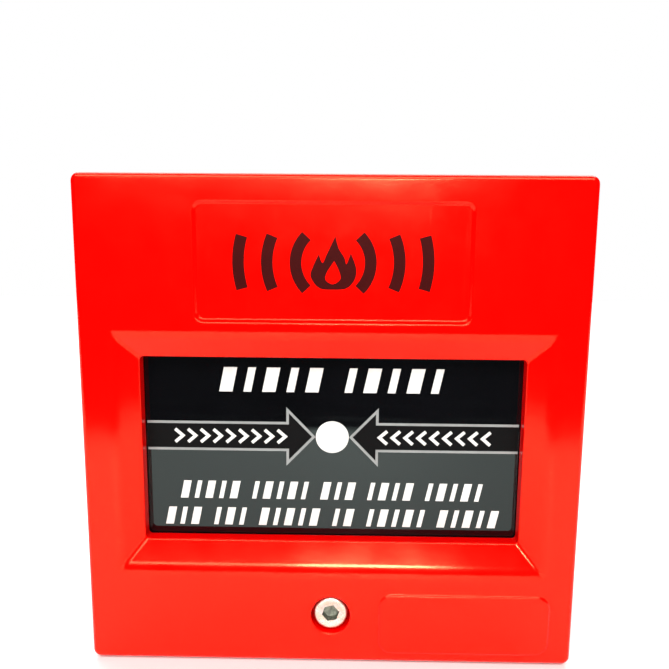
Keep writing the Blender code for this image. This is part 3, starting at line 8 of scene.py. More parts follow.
import bmesh
import bpy
from mathutils import Matrix, Vector


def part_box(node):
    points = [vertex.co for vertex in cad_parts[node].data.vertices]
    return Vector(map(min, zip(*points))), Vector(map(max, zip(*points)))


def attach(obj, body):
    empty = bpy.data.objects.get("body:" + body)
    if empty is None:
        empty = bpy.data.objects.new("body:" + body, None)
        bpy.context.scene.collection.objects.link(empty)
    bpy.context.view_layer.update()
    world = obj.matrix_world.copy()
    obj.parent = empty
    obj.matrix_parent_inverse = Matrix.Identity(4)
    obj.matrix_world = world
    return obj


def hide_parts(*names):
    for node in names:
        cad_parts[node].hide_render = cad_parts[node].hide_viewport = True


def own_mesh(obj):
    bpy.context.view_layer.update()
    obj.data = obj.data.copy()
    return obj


bl_info = {
    "name": "Manual call point",
    "version": (1, 0, 0),
    "blender": (4, 5, 0),
    "location": "3D View > Sidebar > Call point",
    "description": "Builds a wall-mounted manual call point with its cover, pane, switch and fixings",
    "category": "Add Mesh",
}

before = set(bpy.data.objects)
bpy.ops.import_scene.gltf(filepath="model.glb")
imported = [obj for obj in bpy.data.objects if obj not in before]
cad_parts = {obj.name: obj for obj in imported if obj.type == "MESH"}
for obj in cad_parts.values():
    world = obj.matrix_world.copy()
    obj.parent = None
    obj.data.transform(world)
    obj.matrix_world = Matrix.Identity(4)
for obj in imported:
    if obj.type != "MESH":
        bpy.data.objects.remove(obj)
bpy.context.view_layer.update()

MM = 0.001
COVER_LOW, COVER_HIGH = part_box("front_cover")
PANE_LOW, PANE_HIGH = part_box("glass_pane")
SCREW_LOW, SCREW_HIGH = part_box("cover_screw")
PIN_LOW, PIN_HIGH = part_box("hinge_pin_right")
RETAINER_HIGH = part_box("glass_retainer")[1]
PLUNGER_LOW, PLUNGER_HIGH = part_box("plunger")
HINGE_Y = (PIN_LOW.y + PIN_HIGH.y) / 2
HINGE_Z = (PIN_LOW.z + PIN_HIGH.z) / 2
HINGE_RADIUS = COVER_HIGH.z - HINGE_Z
SCREW_Z = (SCREW_LOW.z + SCREW_HIGH.z) / 2

FACING_FRONT = (math.pi / 2, 0.0, 0.0)
FACING_BACK = (-math.pi / 2, 0.0, 0.0)
FACING_UP = (0.0, 0.0, 0.0)
ALONG_X = (0.0, math.pi / 2, 0.0)


def length(name, description, default):
    """A length that a user can change."""
    return bpy.props.FloatProperty(
        name=name, description=description, default=default, min=0.0, unit="LENGTH", subtype="DISTANCE"
    )


def colour(name, description, default):
    """A colour that a user can change."""
    return bpy.props.FloatVectorProperty(
        name=name, description=description, default=default, size=3, min=0.0, max=1.0, subtype="COLOR"
    )


class CoverSizes(bpy.types.PropertyGroup):
    """Sizes of the cover's moulding that the frame's boxes don't give."""

    wall: length("Wall", "Thickness of the cover's walls", 2.5 * MM)
    corner: length("Corner radius", "Radius of the four upright corners", 1.5 * MM)
    front_edge: length("Front edge radius", "Radius round the outline of the face", 0.9 * MM)
    seam_gap: length("Seam gap", "Gap between the cover and the back box", 0.3 * MM)
    slope_width: length("Slope width", "Width of the sloped band round the window", 4.5 * MM)
    slope_round: length("Slope rounding", "Radius where the sloped band meets the face", 6.0 * MM)
    slope_depth: length("Slope depth", "How far the sloped band falls", 2.3 * MM)
    side_overlap: length("Side overlap", "How far the pane reaches behind the window's sides", 3.7 * MM)
    top_overlap: length("Top overlap", "How far the pane reaches behind the window's top", 2.2 * MM)
    sill_overlap: length("Sill overlap", "How far the pane reaches behind the window's sill", 5.0 * MM)
    pane_gap: length("Pane gap", "Gap between the window's rim and the pane", 0.3 * MM)
    rim_wall: length("Rim wall", "Thickness of the rim behind the window", 2.5 * MM)
    panel_width: length("Panel width", "Width of the sunk sign panel", 49.1 * MM)
    panel_height: length("Panel height", "Height of the sunk sign panel", 20.5 * MM)
    panel_top_band: length("Panel top band", "From the top edge down to the panel", 5.5 * MM)
    panel_depth: length("Panel depth", "How far the panel is sunk", 0.6 * MM)
    panel_border: length("Panel border", "Width of the step round the panel", 0.9 * MM)
    pad_width: length("Pad width", "Width of the blank raised pad", 32.4 * MM)
    pad_height: length("Pad height", "Height of the blank raised pad", 11.6 * MM)
    pad_side_band: length("Pad side band", "From the right edge to the pad", 4.9 * MM)
    pad_bottom_band: length("Pad bottom band", "From the bottom edge up to the pad", 2.4 * MM)
    pad_relief: length("Pad relief", "How far the pad stands out", 0.35 * MM)
    counterbore: length("Counterbore radius", "Radius of the pocket round the screw's head", 3.8 * MM)
    counterbore_depth: length("Counterbore depth", "Depth of the pocket round the screw's head", 4.1 * MM)
    screw_way: length("Screw way radius", "Radius of the hole for the screw's shank", 2.05 * MM)
    screw_boss: length("Screw boss radius", "Radius of the boss behind the screw", 6.0 * MM)
    screw_boss_depth: length("Screw boss depth", "From the face to the back of the screw's boss", 14.5 * MM)
    retainer_boss: length("Retainer boss radius", "Radius of the bosses that hold the retainer", 3.0 * MM)
    retainer_pilot: length("Retainer pilot radius", "Radius of the retainer screws' holes", 1.35 * MM)
    knuckle: length("Knuckle length", "Length of each of the back box's two knuckles", 8.0 * MM)
    knuckle_place: length("Knuckle place", "From the middle to the middle of a knuckle", 30.0 * MM)
    running_gap: length("Running gap", "Gap round a pin in its bore", 0.1 * MM)


class PrintSizes(bpy.types.PropertyGroup):
    """Sizes of what is printed on the pane and on the sign panel."""

    film: length("Film", "Thickness of a printed layer", 0.02 * MM)
    press_height: length("Press height", "Height of the dot's middle", -2.8 * MM)
    dot: length("Dot radius", "Radius of the white dot", 3.2 * MM)
    head_tip: length("Arrow tip", "From the middle to an arrow's tip", 3.6 * MM)
    head_base: length("Arrow base", "From the middle to the back of an arrow's head", 8.7 * MM)
    head_height: length("Arrow height", "Height of an arrow's head", 10.6 * MM)
    shaft_height: length("Shaft height", "Height of an arrow's shaft", 5.4 * MM)
    outline: length("Outline", "Width of the line round an arrow", 0.5 * MM)
    title_height: length("Title height", "Height of the blocks over the arrows", 4.8 * MM)
    title_place: length("Title place", "Height of the middle of the blocks over the arrows", 8.5 * MM)
    note_height: length("Note height", "Height of the blocks under the arrows", 3.6 * MM)
    note_place: length("Note place", "Height of the middle of the first row under the arrows", -13.8 * MM)
    note_pitch: length("Note pitch", "From one row to the next", 5.5 * MM)
    sign_height: length("Sign height", "Height of the flame and of the sound bands", 9.6 * MM)
    sign_reach: length("Sign reach", "From the middle to the outermost sound band", 17.2 * MM)
    sign_stroke: length("Sign stroke", "Width of a sound band", 2.1 * MM)


class Finishes(bpy.types.PropertyGroup):
    """Colours of the pieces."""

    red: colour("Red plastic", "Colour of the cover and the back box", (0.86, 0.0004, 0.0002))
    pane: colour("Pane", "Colour of the dark pane", (0.0018, 0.0018, 0.0024))
    ink_white: colour("White print", "Colour of the print on the pane", (0.66, 0.66, 0.62))
    ink_black: colour("Black print", "Colour of the arrows on the pane", (0.002, 0.002, 0.002))
    ink_grey: colour("Grey print", "Colour of the arrows' outlines", (0.24, 0.25, 0.24))
    ink_sign: colour("Sign print", "Colour of the sign", (0.042, 0.0008, 0.0006))
    steel: colour("Plated steel", "Colour of the screws and pins", (0.72, 0.70, 0.64))
    # painted shade: darker steel for the inside of the cover screw's socket
    socket_shade: colour("Shaded socket steel", "Colour inside the cover screw's socket", (0.30, 0.31, 0.25))
    spring: colour("Spring wire", "Colour of the springs", (0.50, 0.50, 0.49))
    brass: colour("Brass", "Colour of the insert and the tabs", (0.78, 0.56, 0.25))
    black: colour("Black nylon", "Colour of the retainer, carrier and bridge", (0.020, 0.020, 0.022))
    white: colour("White nylon", "Colour of the chassis and the plunger", (0.74, 0.73, 0.69))
    green: colour("Green nylon", "Colour of the terminal block", (0.020, 0.190, 0.070))
    board: colour("Board", "Colour of the circuit board", (0.010, 0.100, 0.035))
    resistor: colour("Resistor", "Colour of a resistor's coat", (0.56, 0.43, 0.26))
    button: colour("Button", "Colour of the switch's button", (0.62, 0.10, 0.02))


# ---------------------------------------------------------------- materials


class Finish:
    """A material being built: its tree, its Principled shader and the object's own coordinates."""

    def __init__(self, name, base, roughness, metallic=0.0):
        self.material = bpy.data.materials.new(name)
        self.material.use_nodes = True
        self.tree = self.material.node_tree
        self.shader = self.tree.nodes["Principled BSDF"]
        self.shader.inputs["Base Color"].default_value = (*base, 1.0)
        self.shader.inputs["Roughness"].default_value = roughness
        self.shader.inputs["Metallic"].default_value = metallic
        self.place = self.tree.nodes.new("ShaderNodeTexCoord").outputs["Object"]

    def set(self, **values):
        for key, value in values.items():
            self.shader.inputs[key.replace("_", " ")].default_value = value

    def mapped(self, scale=(1, 1, 1), turn=(0, 0, 0), shift=(0, 0, 0)):
        """The object's coordinates, shifted, turned and stretched."""
        node = self.tree.nodes.new("ShaderNodeMapping")
        node.inputs["Location"].default_value = shift
        node.inputs["Rotation"].default_value = turn
        node.inputs["Scale"].default_value = scale
        self.tree.links.new(self.place, node.inputs["Vector"])
        return node.outputs["Vector"]

    def noise(self, scale, detail=2.0, place=None):
        node = self.tree.nodes.new("ShaderNodeTexNoise")
        node.inputs["Scale"].default_value = scale
        node.inputs["Detail"].default_value = detail
        self.tree.links.new(place or self.place, node.inputs["Vector"])
        return node.outputs["Fac"]

    def cells(self, scale, place=None):
        node = self.tree.nodes.new("ShaderNodeTexVoronoi")
        node.inputs["Scale"].default_value = scale
        self.tree.links.new(place or self.place, node.inputs["Vector"])
        return node.outputs["Distance"]

    def spread(self, value, low, high, start=0.0, end=1.0):
        """Maps start..end of a value to low..high."""
        node = self.tree.nodes.new("ShaderNodeMapRange")
        node.inputs["From Min"].default_value = start
        node.inputs["From Max"].default_value = end
        node.inputs["To Min"].default_value = low
        node.inputs["To Max"].default_value = high
        self.tree.links.new(value, node.inputs["Value"])
        return node.outputs["Result"]

    def sum(self, first, second, operation="ADD"):
        node = self.tree.nodes.new("ShaderNodeMath")
        node.operation = operation
        self.tree.links.new(first, node.inputs[0])
        self.tree.links.new(second, node.inputs[1])
        return node.outputs["Value"]

    def ramp(self, value, *stops):
        """Colours along a value, each stop being a position and a colour."""
        node = self.tree.nodes.new("ShaderNodeValToRGB")
        band = node.color_ramp
        while len(band.elements) < len(stops):
            band.elements.new(0.5)
        for element, (position, shade) in zip(band.elements, stops):
            element.position = position
            element.color = (*shade, 1.0)
        self.tree.links.new(value, node.inputs["Fac"])
        return node.outputs["Color"]

    def paint(self, output, socket="Base Color"):
        self.tree.links.new(output, self.shader.inputs[socket])

    def bump(self, height, depth):
        node = self.tree.nodes.new("ShaderNodeBump")
        node.inputs["Strength"].default_value = 1.0
        node.inputs["Distance"].default_value = depth
        self.tree.links.new(height, node.inputs["Height"])
        self.tree.links.new(node.outputs["Normal"], self.shader.inputs["Normal"])


def shaded(base, factor):
    """A colour made lighter or darker, no channel past full."""
    return tuple(min(1.0, channel * factor) for channel in base)


def gloss_red(base):
    """Glossy moulded red plastic: a faint orange peel, hairline scuffs and a little tone drift."""
    made = Finish("gloss_red", base, 0.2)
    made.set(IOR=1.5, Specular_Tint=(1.0, 0.60, 0.27, 1.0))
    drift = made.noise(38.0, 3.0)
    made.paint(made.ramp(drift, (0.3, shaded(base, 0.93)), (0.7, shaded(base, 1.04))))
    scuffs = made.noise(1.0, 4.0, made.mapped((2600.0, 2600.0, 90.0), (0.0, 0.6, 0.3)))
    hairlines = made.spread(scuffs, 0.0, 0.05, 0.62, 0.75)
    haze = made.spread(made.noise(160.0, 4.0), 0.10, 0.14, 0.3, 0.7)
    made.paint(made.sum(haze, hairlines), "Roughness")
    made.bump(made.noise(900.0, 2.0), 0.006 * MM)
    return made.material


def smoked_pane(base):
    """The dark pane: a hard, clear gloss with faint wipe marks in its polish."""
    made = Finish("smoked_pane", base, 0.04)
    made.set(IOR=1.48, Specular_Tint=(0.84, 1.0, 0.95, 1.0))
    wipes = made.noise(1.0, 3.0, made.mapped((70.0, 70.0, 900.0), (0.0, 0.5, 0.0)))
    made.paint(made.spread(wipes, 0.03, 0.09, 0.35, 0.75), "Roughness")
    made.paint(made.ramp(made.noise(60.0, 2.0), (0.3, shaded(base, 0.8)), (0.7, shaded(base, 1.3))))
    return made.material


def ink(name, base, roughness=0.4, shine=0.5):
    """Screen-printed ink: a slightly uneven lay with a fine mesh left in it."""
    made = Finish(name, base, roughness)
    made.set(Specular_IOR_Level=shine)
    made.paint(made.ramp(made.noise(420.0, 3.0), (0.3, shaded(base, 0.90)), (0.7, shaded(base, 1.06))))
    made.paint(made.spread(made.noise(1400.0, 2.0), roughness - 0.06, roughness + 0.1), "Roughness")
    made.bump(made.cells(5200.0), 0.002 * MM)
    return made.material


def plated_steel(base):
    """Zinc-plated steel: a warm, mottled passivation over fine turning marks."""
    made = Finish("plated_steel", base, 0.3, 1.0)
    mottle = made.noise(1100.0, 4.0)
    yellowed = (base[0], base[1] * 0.95, base[2] * 0.80)
    made.paint(made.ramp(mottle, (0.35, shaded(base, 1.08)), (0.65, yellowed)))
    made.paint(made.spread(made.noise(2400.0, 3.0), 0.22, 0.42, 0.3, 0.7), "Roughness")
    made.bump(made.noise(1.0, 2.0, made.mapped((3000.0, 9000.0, 3000.0))), 0.002 * MM)
    return made.material


def soiled_steel(base):
    """Painted shade inside a screw's socket: the plating darkened there, with a rougher polish."""
    made = Finish("soiled_steel", base, 0.6, 1.0)
    made.paint(made.ramp(made.noise(1500.0, 3.0), (0.35, shaded(base, 0.6)), (0.7, shaded(base, 1.3))))
    return made.material


def spring_wire(base):
    """Drawn spring wire with its long draw marks and a trace of oil."""
    made = Finish("spring_wire", base, 0.3, 1.0)
    made.paint(made.ramp(made.noise(700.0, 3.0), (0.3, shaded(base, 0.75)), (0.7, shaded(base, 1.15))))
    made.paint(made.spread(made.noise(2600.0, 2.0), 0.24, 0.44), "Roughness")
    return made.material


def dull_brass(base):
    """Turned brass, browned a little in random patches."""
    made = Finish("dull_brass", base, 0.32, 1.0)
    browned = (base[0] * 0.72, base[1] * 0.62, base[2] * 0.48)
    made.paint(made.ramp(made.noise(800.0, 4.0), (0.35, browned), (0.62, base)))
    made.paint(made.spread(made.noise(1900.0, 3.0), 0.26, 0.46), "Roughness")
    made.bump(made.noise(3200.0, 2.0), 0.003 * MM)
    return made.material


def moulded(name, base, roughness=0.45, grain=0.012 * MM, grain_scale=2600.0):
    """Moulded plastic with the fine grain of an etched tool."""
    made = Finish(name, base, roughness)
    made.paint(made.ramp(made.noise(120.0, 3.0), (0.3, shaded(base, 0.90)), (0.7, shaded(base, 1.08))))
    made.paint(made.spread(made.noise(900.0, 3.0), roughness - 0.08, roughness + 0.1), "Roughness")
    made.bump(made.sum(made.noise(grain_scale, 2.0), made.cells(grain_scale * 0.8)), grain)
    return made.material


def solder_mask(base):
    """A green board: copper tracks show as a lighter tone, with the weave of the glass cloth under them."""
    made = Finish("solder_mask", base, 0.28)
    made.set(Coat_Weight=0.5, Coat_Roughness=0.12)
    across = made.noise(1.0, 0.0, made.mapped((60.0, 1.0, 900.0)))
    upright = made.noise(1.0, 0.0, made.mapped((800.0, 1.0, 50.0), shift=(3.0, 0.0, 7.0)))
    tracks = made.sum(
        made.spread(across, 0.0, 1.0, 0.60, 0.62), made.spread(upright, 0.0, 1.0, 0.61, 0.63), "MAXIMUM"
    )
    made.paint(made.ramp(tracks, (0.35, base), (0.65, shaded(base, 2.1))))
    weave = made.noise(1.0, 0.0, made.mapped((2400.0, 1.0, 1500.0)))
    made.paint(made.spread(weave, 0.20, 0.40), "Roughness")
    made.bump(made.sum(tracks, made.spread(weave, 0.0, 0.2)), 0.03 * MM)
    return made.material


def bright_solder():
    """Solder fillets: bright, with a frosted skin."""
    tin = (0.70, 0.71, 0.72)
    made = Finish("bright_solder", tin, 0.3, 1.0)
    made.paint(made.ramp(made.noise(1500.0, 3.0), (0.3, shaded(tin, 0.8)), (0.7, shaded(tin, 1.1))))
    made.paint(made.spread(made.noise(2600.0, 3.0), 0.18, 0.5), "Roughness")
    made.bump(made.noise(1800.0, 2.0), 0.01 * MM)
    return made.material


def soft_rubber():
    """Black rubber with a dusty bloom."""
    black = (0.018, 0.018, 0.019)
    made = Finish("soft_rubber", black, 0.75)
    bloom = made.noise(240.0, 5.0)
    made.paint(made.ramp(bloom, (0.35, black), (0.75, (0.055, 0.054, 0.052))))
    made.paint(made.spread(bloom, 0.62, 0.88), "Roughness")
    made.bump(made.noise(2200.0, 3.0), 0.02 * MM)
    return made.material


def banded_coat(name, base, bands, middle, half):
    """A resistor's lacquer, with its colour bands along X between its two caps."""
    made = Finish(name, base, 0.35)
    made.set(Coat_Weight=0.4, Coat_Roughness=0.15)
    split = made.tree.nodes.new("ShaderNodeSeparateXYZ")
    made.tree.links.new(made.place, split.inputs["Vector"])
    along = made.spread(split.outputs["X"], 0.0, 1.0, middle - half, middle + half)
    stops = [(0.0, base)]
    for position, shade in bands:
        stops += [(position - 0.035, shade), (position + 0.035, base)]
    band = made.ramp(along, *stops)
    band.node.color_ramp.interpolation = "CONSTANT"
    made.paint(band)
    made.paint(made.spread(made.noise(1500.0, 2.0), 0.25, 0.45), "Roughness")
    made.bump(made.noise(1200.0, 2.0), 0.01 * MM)
    return made.material


def wire_coat(name, base):
    """PVC insulation, slightly waxy, with drawing marks."""
    made = Finish(name, base, 0.38)
    made.paint(made.ramp(made.noise(500.0, 3.0), (0.3, shaded(base, 0.85)), (0.7, shaded(base, 1.1))))
    made.paint(made.spread(made.noise(1600.0, 2.0), 0.32, 0.5), "Roughness")
    made.bump(made.noise(1.0, 2.0, made.mapped((3500.0, 500.0, 500.0))), 0.006 * MM)
    return made.material


def pale_floor():
    """A plain pale table top."""
    white = (0.86, 0.855, 0.84)
    made = Finish("pale_floor", white, 0.55)
    made.paint(made.ramp(made.noise(9.0, 3.0), (0.3, shaded(white, 0.985)), (0.7, white)))
    made.bump(made.noise(300.0, 3.0), 0.02 * MM)
    return made.material


# ---------------------------------------------------------------- making meshes


def new_piece(name, built, finish=None):
    """Turns a bmesh into an object at the origin."""
    mesh = bpy.data.meshes.new(name)
    built.to_mesh(mesh)
    built.free()
    piece = bpy.data.objects.new(name, mesh)
    bpy.context.scene.collection.objects.link(piece)
    if finish:
        mesh.materials.append(finish)
    return piece


def settle(piece):
    """Bakes a piece's modifiers and its place into a plain mesh that sits at the origin."""
    bpy.context.view_layer.update()
    graph = bpy.context.evaluated_depsgraph_get()
    mesh = bpy.data.meshes.new_from_object(piece.evaluated_get(graph), depsgraph=graph)
    mesh.transform(piece.matrix_world)
    name = piece.name
    bpy.data.objects.remove(piece, do_unlink=True)
    made = bpy.data.objects.new(name, mesh)
    bpy.context.scene.collection.objects.link(made)
    return made


def smooth(piece, angle=32.0):
    """Smooth shading that keeps flat faces flat and edges over the angle sharp."""
    piece.data.shade_smooth()
    piece.data.set_sharp_from_angle(angle=math.radians(angle))
    weigh = piece.modifiers.new("weigh", "WEIGHTED_NORMAL")
    weigh.mode = "FACE_AREA"
    weigh.weight = 80
    weigh.keep_sharp = True
    return settle(piece)


def finish_piece(piece, finish, body, nodes=()):
    """Gives a finished piece its material, hangs it on its body and hides the frame nodes that it stands
    for.
    """
    piece.data.materials.clear()
    piece.data.materials.append(finish)
    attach(piece, body)
    if nodes:
        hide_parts(*nodes)
    return piece


def combined(piece, tool, operation):
    """Joins a tool to a piece or cuts it away, and removes the tool."""
    step = piece.modifiers.new("combine", "BOOLEAN")
    step.operation = operation
    step.solver = "EXACT"
    step.object = tool
    made = settle(piece)
    bpy.data.objects.remove(tool, do_unlink=True)
    return made


def rounded_path(points, radii, steps=5):
    """A path through (out, deep) points, with an arc of the given radius at each inner corner."""
    path = [points[0]]
    for before, corner, after, radius in zip(points, points[1:], points[2:], radii):
        a = (Vector(before) - Vector(corner)).normalized()
        b = (Vector(after) - Vector(corner)).normalized()
        turn = math.acos(max(-1.0, min(1.0, a.dot(b))))
        reach = radius / math.tan(turn / 2)
        centre = Vector(corner) + (a + b).normalized() * (radius / math.sin(turn / 2))
        start = Vector(corner) + a * reach - centre
        sweep = start.angle_signed(Vector(corner) + b * reach - centre)
        for i in range(steps + 1):
            spoke = start.copy()
            spoke.rotate(Matrix.Rotation(-sweep * i / steps, 2))
            path.append(tuple(centre + spoke))
    path.append(points[-1])
    return path


def rectangle(low, high, out, corner, steps=5):
    """Points (x, z) of a round-cornered rectangle grown by out, anticlockwise from the front."""
    left, right = low[0] - out, high[0] + out
    bottom, top = low[1] - out, high[1] + out
    radius = max(corner + out, 0.15 * MM)
    corners = (
        (right - radius, bottom + radius, -90),
        (right - radius, top - radius, 0),
        (left + radius, top - radius, 90),
        (left + radius, bottom + radius, 180),
    )
    points = []
    for x, z, first in corners:
        for i in range(steps + 1):
            angle = math.radians(first + 90 * i / steps)
            points.append((x + radius * math.cos(angle), z + radius * math.sin(angle)))
    return points


def circle(x, z, radius, steps=48):
    """Points (x, z) of a circle, anticlockwise from the front."""
    turns = [2 * math.pi * i / steps for i in range(steps)]
    return [(x + radius * math.cos(t), z + radius * math.sin(t)) for t in turns]


def loft(built, rings):
    """Skins rings of (points, y) that have equal counts, and returns the first and the last loop."""
    loops = [[built.verts.new((x, y, z)) for x, z in points] for points, y in rings]
    for first, second in zip(loops, loops[1:]):
        for i, corner in enumerate(first):
            j = (i + 1) % len(first)
            built.faces.new((corner, first[j], second[j], second[i]))
    return loops[0], loops[-1]


def fill(built, *loops):
    """Fills a flat region whose outline and holes are closed loops of corners."""
    edges = []
    for loop in loops:
        for i, corner in enumerate(loop):
            pair = (corner, loop[(i + 1) % len(loop)])
            edges.append(built.edges.get(pair) or built.edges.new(pair))
    bmesh.ops.triangle_fill(built, use_beauty=True, use_dissolve=False, edges=edges)


def lathe(built, profile, steps=48, wave=None):
    """Spins a (radius, height) profile about Z. wave(angle, height) may add to the radius."""
    rings = []
    for radius, height in profile:
        if radius == 0:
            rings.append([built.verts.new((0, 0, height))])
            continue
        ring = []
        for i in range(steps):
            angle = 2 * math.pi * i / steps
            r = radius + (wave(angle, height) if wave else 0.0)
            ring.append(built.verts.new((r * math.cos(angle), r * math.sin(angle), height)))
        rings.append(ring)
    for first, second in zip(rings, rings[1:]):
        for i in range(steps):
            j = (i + 1) % steps
            corners = [first[i % len(first)], first[j % len(first)]]
            corners += [second[j % len(second)], second[i % len(second)]]
            unique = list(dict.fromkeys(corners))
            if len(unique) > 2:
                built.faces.new(unique)
    if len(rings[0]) > 1 and len(rings[-1]) > 1:
        for i in range(steps):
            j = (i + 1) % steps
            built.faces.new((rings[-1][i], rings[-1][j], rings[0][j], rings[0][i]))
    bmesh.ops.recalc_face_normals(built, faces=built.faces)


def box_mesh(built, low, high):
    """A box between two corners."""
    size = [b - a for a, b in zip(low, high)]
    middle = [(a + b) / 2 for a, b in zip(low, high)]
    made = bmesh.ops.create_cube(built, size=1.0, matrix=Matrix.Diagonal((*size, 1.0)))
    for corner in made["verts"]:
        corner.co += Vector(middle)
    return made["verts"]


def whole_faced(node):
    """A frame node's mesh with the triangles of each flat face joined."""
    built = bmesh.new()
    built.from_mesh(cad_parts[node].data)
    bmesh.ops.remove_doubles(built, verts=built.verts, dist=0.002 * MM)
    flat = math.radians(1.0)
    bmesh.ops.dissolve_limit(built, angle_limit=flat, verts=built.verts, edges=built.edges)
    return built


def refined(node, name, edge, angle=30.0, segments=3):
    """A copy of a frame node with its flat faces made whole and its edges rounded."""
    built = whole_faced(node)
    bmesh.ops.triangulate(built, faces=[face for face in built.faces if len(face.verts) > 4])
    piece = new_piece(name, built)
    bevel = piece.modifiers.new("edges", "BEVEL")
    bevel.width = edge
    bevel.segments = segments
    bevel.limit_method = "ANGLE"
    bevel.angle_limit = math.radians(angle)
    bevel.use_clamp_overlap = False
    bevel.miter_outer = "MITER_ARC"
    parted = piece.modifiers.new("triangles", "TRIANGULATE")
    parted.ngon_method = "BEAUTY"
    return smooth(settle(piece), angle)


def middle_of(node):
    """The middle of a frame node's box."""
    low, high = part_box(node)
    return (low + high) / 2


# ---------------------------------------------------------------- node trees that repeat a shape


def tree_with(name, sockets):
    """An empty Geometry Nodes tree with the named inputs."""
    tree = bpy.data.node_groups.new(name, "GeometryNodeTree")
    tree.interface.new_socket("Geometry", in_out="INPUT", socket_type="NodeSocketGeometry")
    for label, kind, default in sockets:
        socket = tree.interface.new_socket(label, in_out="INPUT", socket_type=kind)
        if default is not None:
            socket.default_value = default
    tree.interface.new_socket("Geometry", in_out="OUTPUT", socket_type="NodeSocketGeometry")
    return tree, tree.nodes.new("NodeGroupInput"), tree.nodes.new("NodeGroupOutput")


def run_tree(name, points, tree, values):
    """Runs a tree on an object made of loose points, and returns the plain mesh that it gives."""
    mesh = bpy.data.meshes.new(name)
    mesh.from_pydata([tuple(p) for p in points], [], [])
    piece = bpy.data.objects.new(name, mesh)
    bpy.context.scene.collection.objects.link(piece)
    step = piece.modifiers.new("repeat", "NODES")
    step.node_group = tree
    for socket in tree.interface.items_tree:
        if socket.in_out == "INPUT" and socket.name in values:
            step[socket.identifier] = values[socket.name]
    return settle(piece)


def repeat_tree():
    """Sets a prototype on every point, turned one way, and makes the copies real."""
    sockets = (
        ("Prototype", "NodeSocketObject", None),
        ("Turn", "NodeSocketVector", (0.0, 0.0, 0.0)),
        ("Finish", "NodeSocketMaterial", None),
    )
    tree, given, result = tree_with("repeat_on_points", sockets)
    shape = tree.nodes.new("GeometryNodeObjectInfo")
    turn = tree.nodes.new("FunctionNodeEulerToRotation")
    place = tree.nodes.new("GeometryNodeInstanceOnPoints")
    real = tree.nodes.new("GeometryNodeRealizeInstances")
    finish = tree.nodes.new("GeometryNodeSetMaterial")
    link = tree.links.new
    link(given.outputs["Prototype"], shape.inputs["Object"])
    link(given.outputs["Turn"], turn.inputs["Euler"])
    link(given.outputs["Geometry"], place.inputs["Points"])
    link(shape.outputs["Geometry"], place.inputs["Instance"])
    link(turn.outputs["Rotation"], place.inputs["Rotation"])
    link(place.outputs["Instances"], real.inputs["Geometry"])
    link(real.outputs["Geometry"], finish.inputs["Geometry"])
    link(given.outputs["Finish"], finish.inputs["Material"])
    link(finish.outputs["Geometry"], result.inputs["Geometry"])
    return tree


def coil_tree():
    """A compression spring along Z from each point, its end turns closed up."""
    sockets = (
        ("Radius", "NodeSocketFloat", 1.9 * MM),
        ("Wire", "NodeSocketFloat", 0.25 * MM),
        ("Turns", "NodeSocketFloat", 5.0),
        ("Length", "NodeSocketFloat", 7.0 * MM),
        ("Turn", "NodeSocketVector", (0.0, 0.0, 0.0)),
        ("Finish", "NodeSocketMaterial", None),
    )
    tree, given, result = tree_with("coil_on_points", sockets)
    new = tree.nodes.new
    link = tree.links.new
    spiral = new("GeometryNodeCurveSpiral")
    spiral.inputs["Resolution"].default_value = 28
    for socket in ("Start Radius", "End Radius"):
        link(given.outputs["Radius"], spiral.inputs[socket])
    link(given.outputs["Turns"], spiral.inputs["Rotations"])
    link(given.outputs["Length"], spiral.inputs["Height"])
    share = new("GeometryNodeSplineParameter")
    angle = new("ShaderNodeMath")
    angle.operation = "MULTIPLY"
    angle.inputs[1].default_value = 2 * math.pi
    link(share.outputs["Factor"], angle.inputs[0])
    wave = new("ShaderNodeMath")
    wave.operation = "SINE"
    link(angle.outputs[0], wave.inputs[0])
    close = new("ShaderNodeMath")
    close.operation = "MULTIPLY"
    close.inputs[1].default_value = -0.09
    link(wave.outputs[0], close.inputs[0])
    rise = new("ShaderNodeMath")
    rise.operation = "MULTIPLY"
    link(close.outputs[0], rise.inputs[0])
    link(given.outputs["Length"], rise.inputs[1])
    offset = new("ShaderNodeCombineXYZ")
    link(rise.outputs[0], offset.inputs["Z"])
    move = new("GeometryNodeSetPosition")
    link(spiral.outputs["Curve"], move.inputs["Geometry"])
    link(offset.outputs["Vector"], move.inputs["Offset"])
    section = new("GeometryNodeCurvePrimitiveCircle")
    section.inputs["Resolution"].default_value = 12
    link(given.outputs["Wire"], section.inputs["Radius"])
    coil = new("GeometryNodeCurveToMesh")
    coil.inputs["Fill Caps"].default_value = True
    link(move.outputs["Geometry"], coil.inputs["Curve"])
    link(section.outputs["Curve"], coil.inputs["Profile Curve"])
    turn = new("FunctionNodeEulerToRotation")
    link(given.outputs["Turn"], turn.inputs["Euler"])
    place = new("GeometryNodeInstanceOnPoints")
    link(given.outputs["Geometry"], place.inputs["Points"])
    link(coil.outputs["Mesh"], place.inputs["Instance"])
    link(turn.outputs["Rotation"], place.inputs["Rotation"])
    real = new("GeometryNodeRealizeInstances")
    link(place.outputs["Instances"], real.inputs["Geometry"])
    finish = new("GeometryNodeSetMaterial")
    link(real.outputs["Geometry"], finish.inputs["Geometry"])
    link(given.outputs["Finish"], finish.inputs["Material"])
    link(finish.outputs["Geometry"], result.inputs["Geometry"])
    return tree


TREES = {}


def shared_tree(name, make):
    """A node tree, made the first time a piece asks for it."""
    if name not in TREES:
        TREES[name] = make()
    return TREES[name]


def repeated(name, prototype, points, turn, finish):
    """One mesh of a prototype set on every point. The prototype is removed."""
    values = {"Prototype": prototype, "Turn": turn, "Finish": finish}
    made = run_tree(name, points, shared_tree("repeat", repeat_tree), values)
    bpy.data.objects.remove(prototype, do_unlink=True)
    made.data.shade_smooth()
    made.data.set_sharp_from_angle(angle=math.radians(32.0))
    return made


MATERIALS = {}


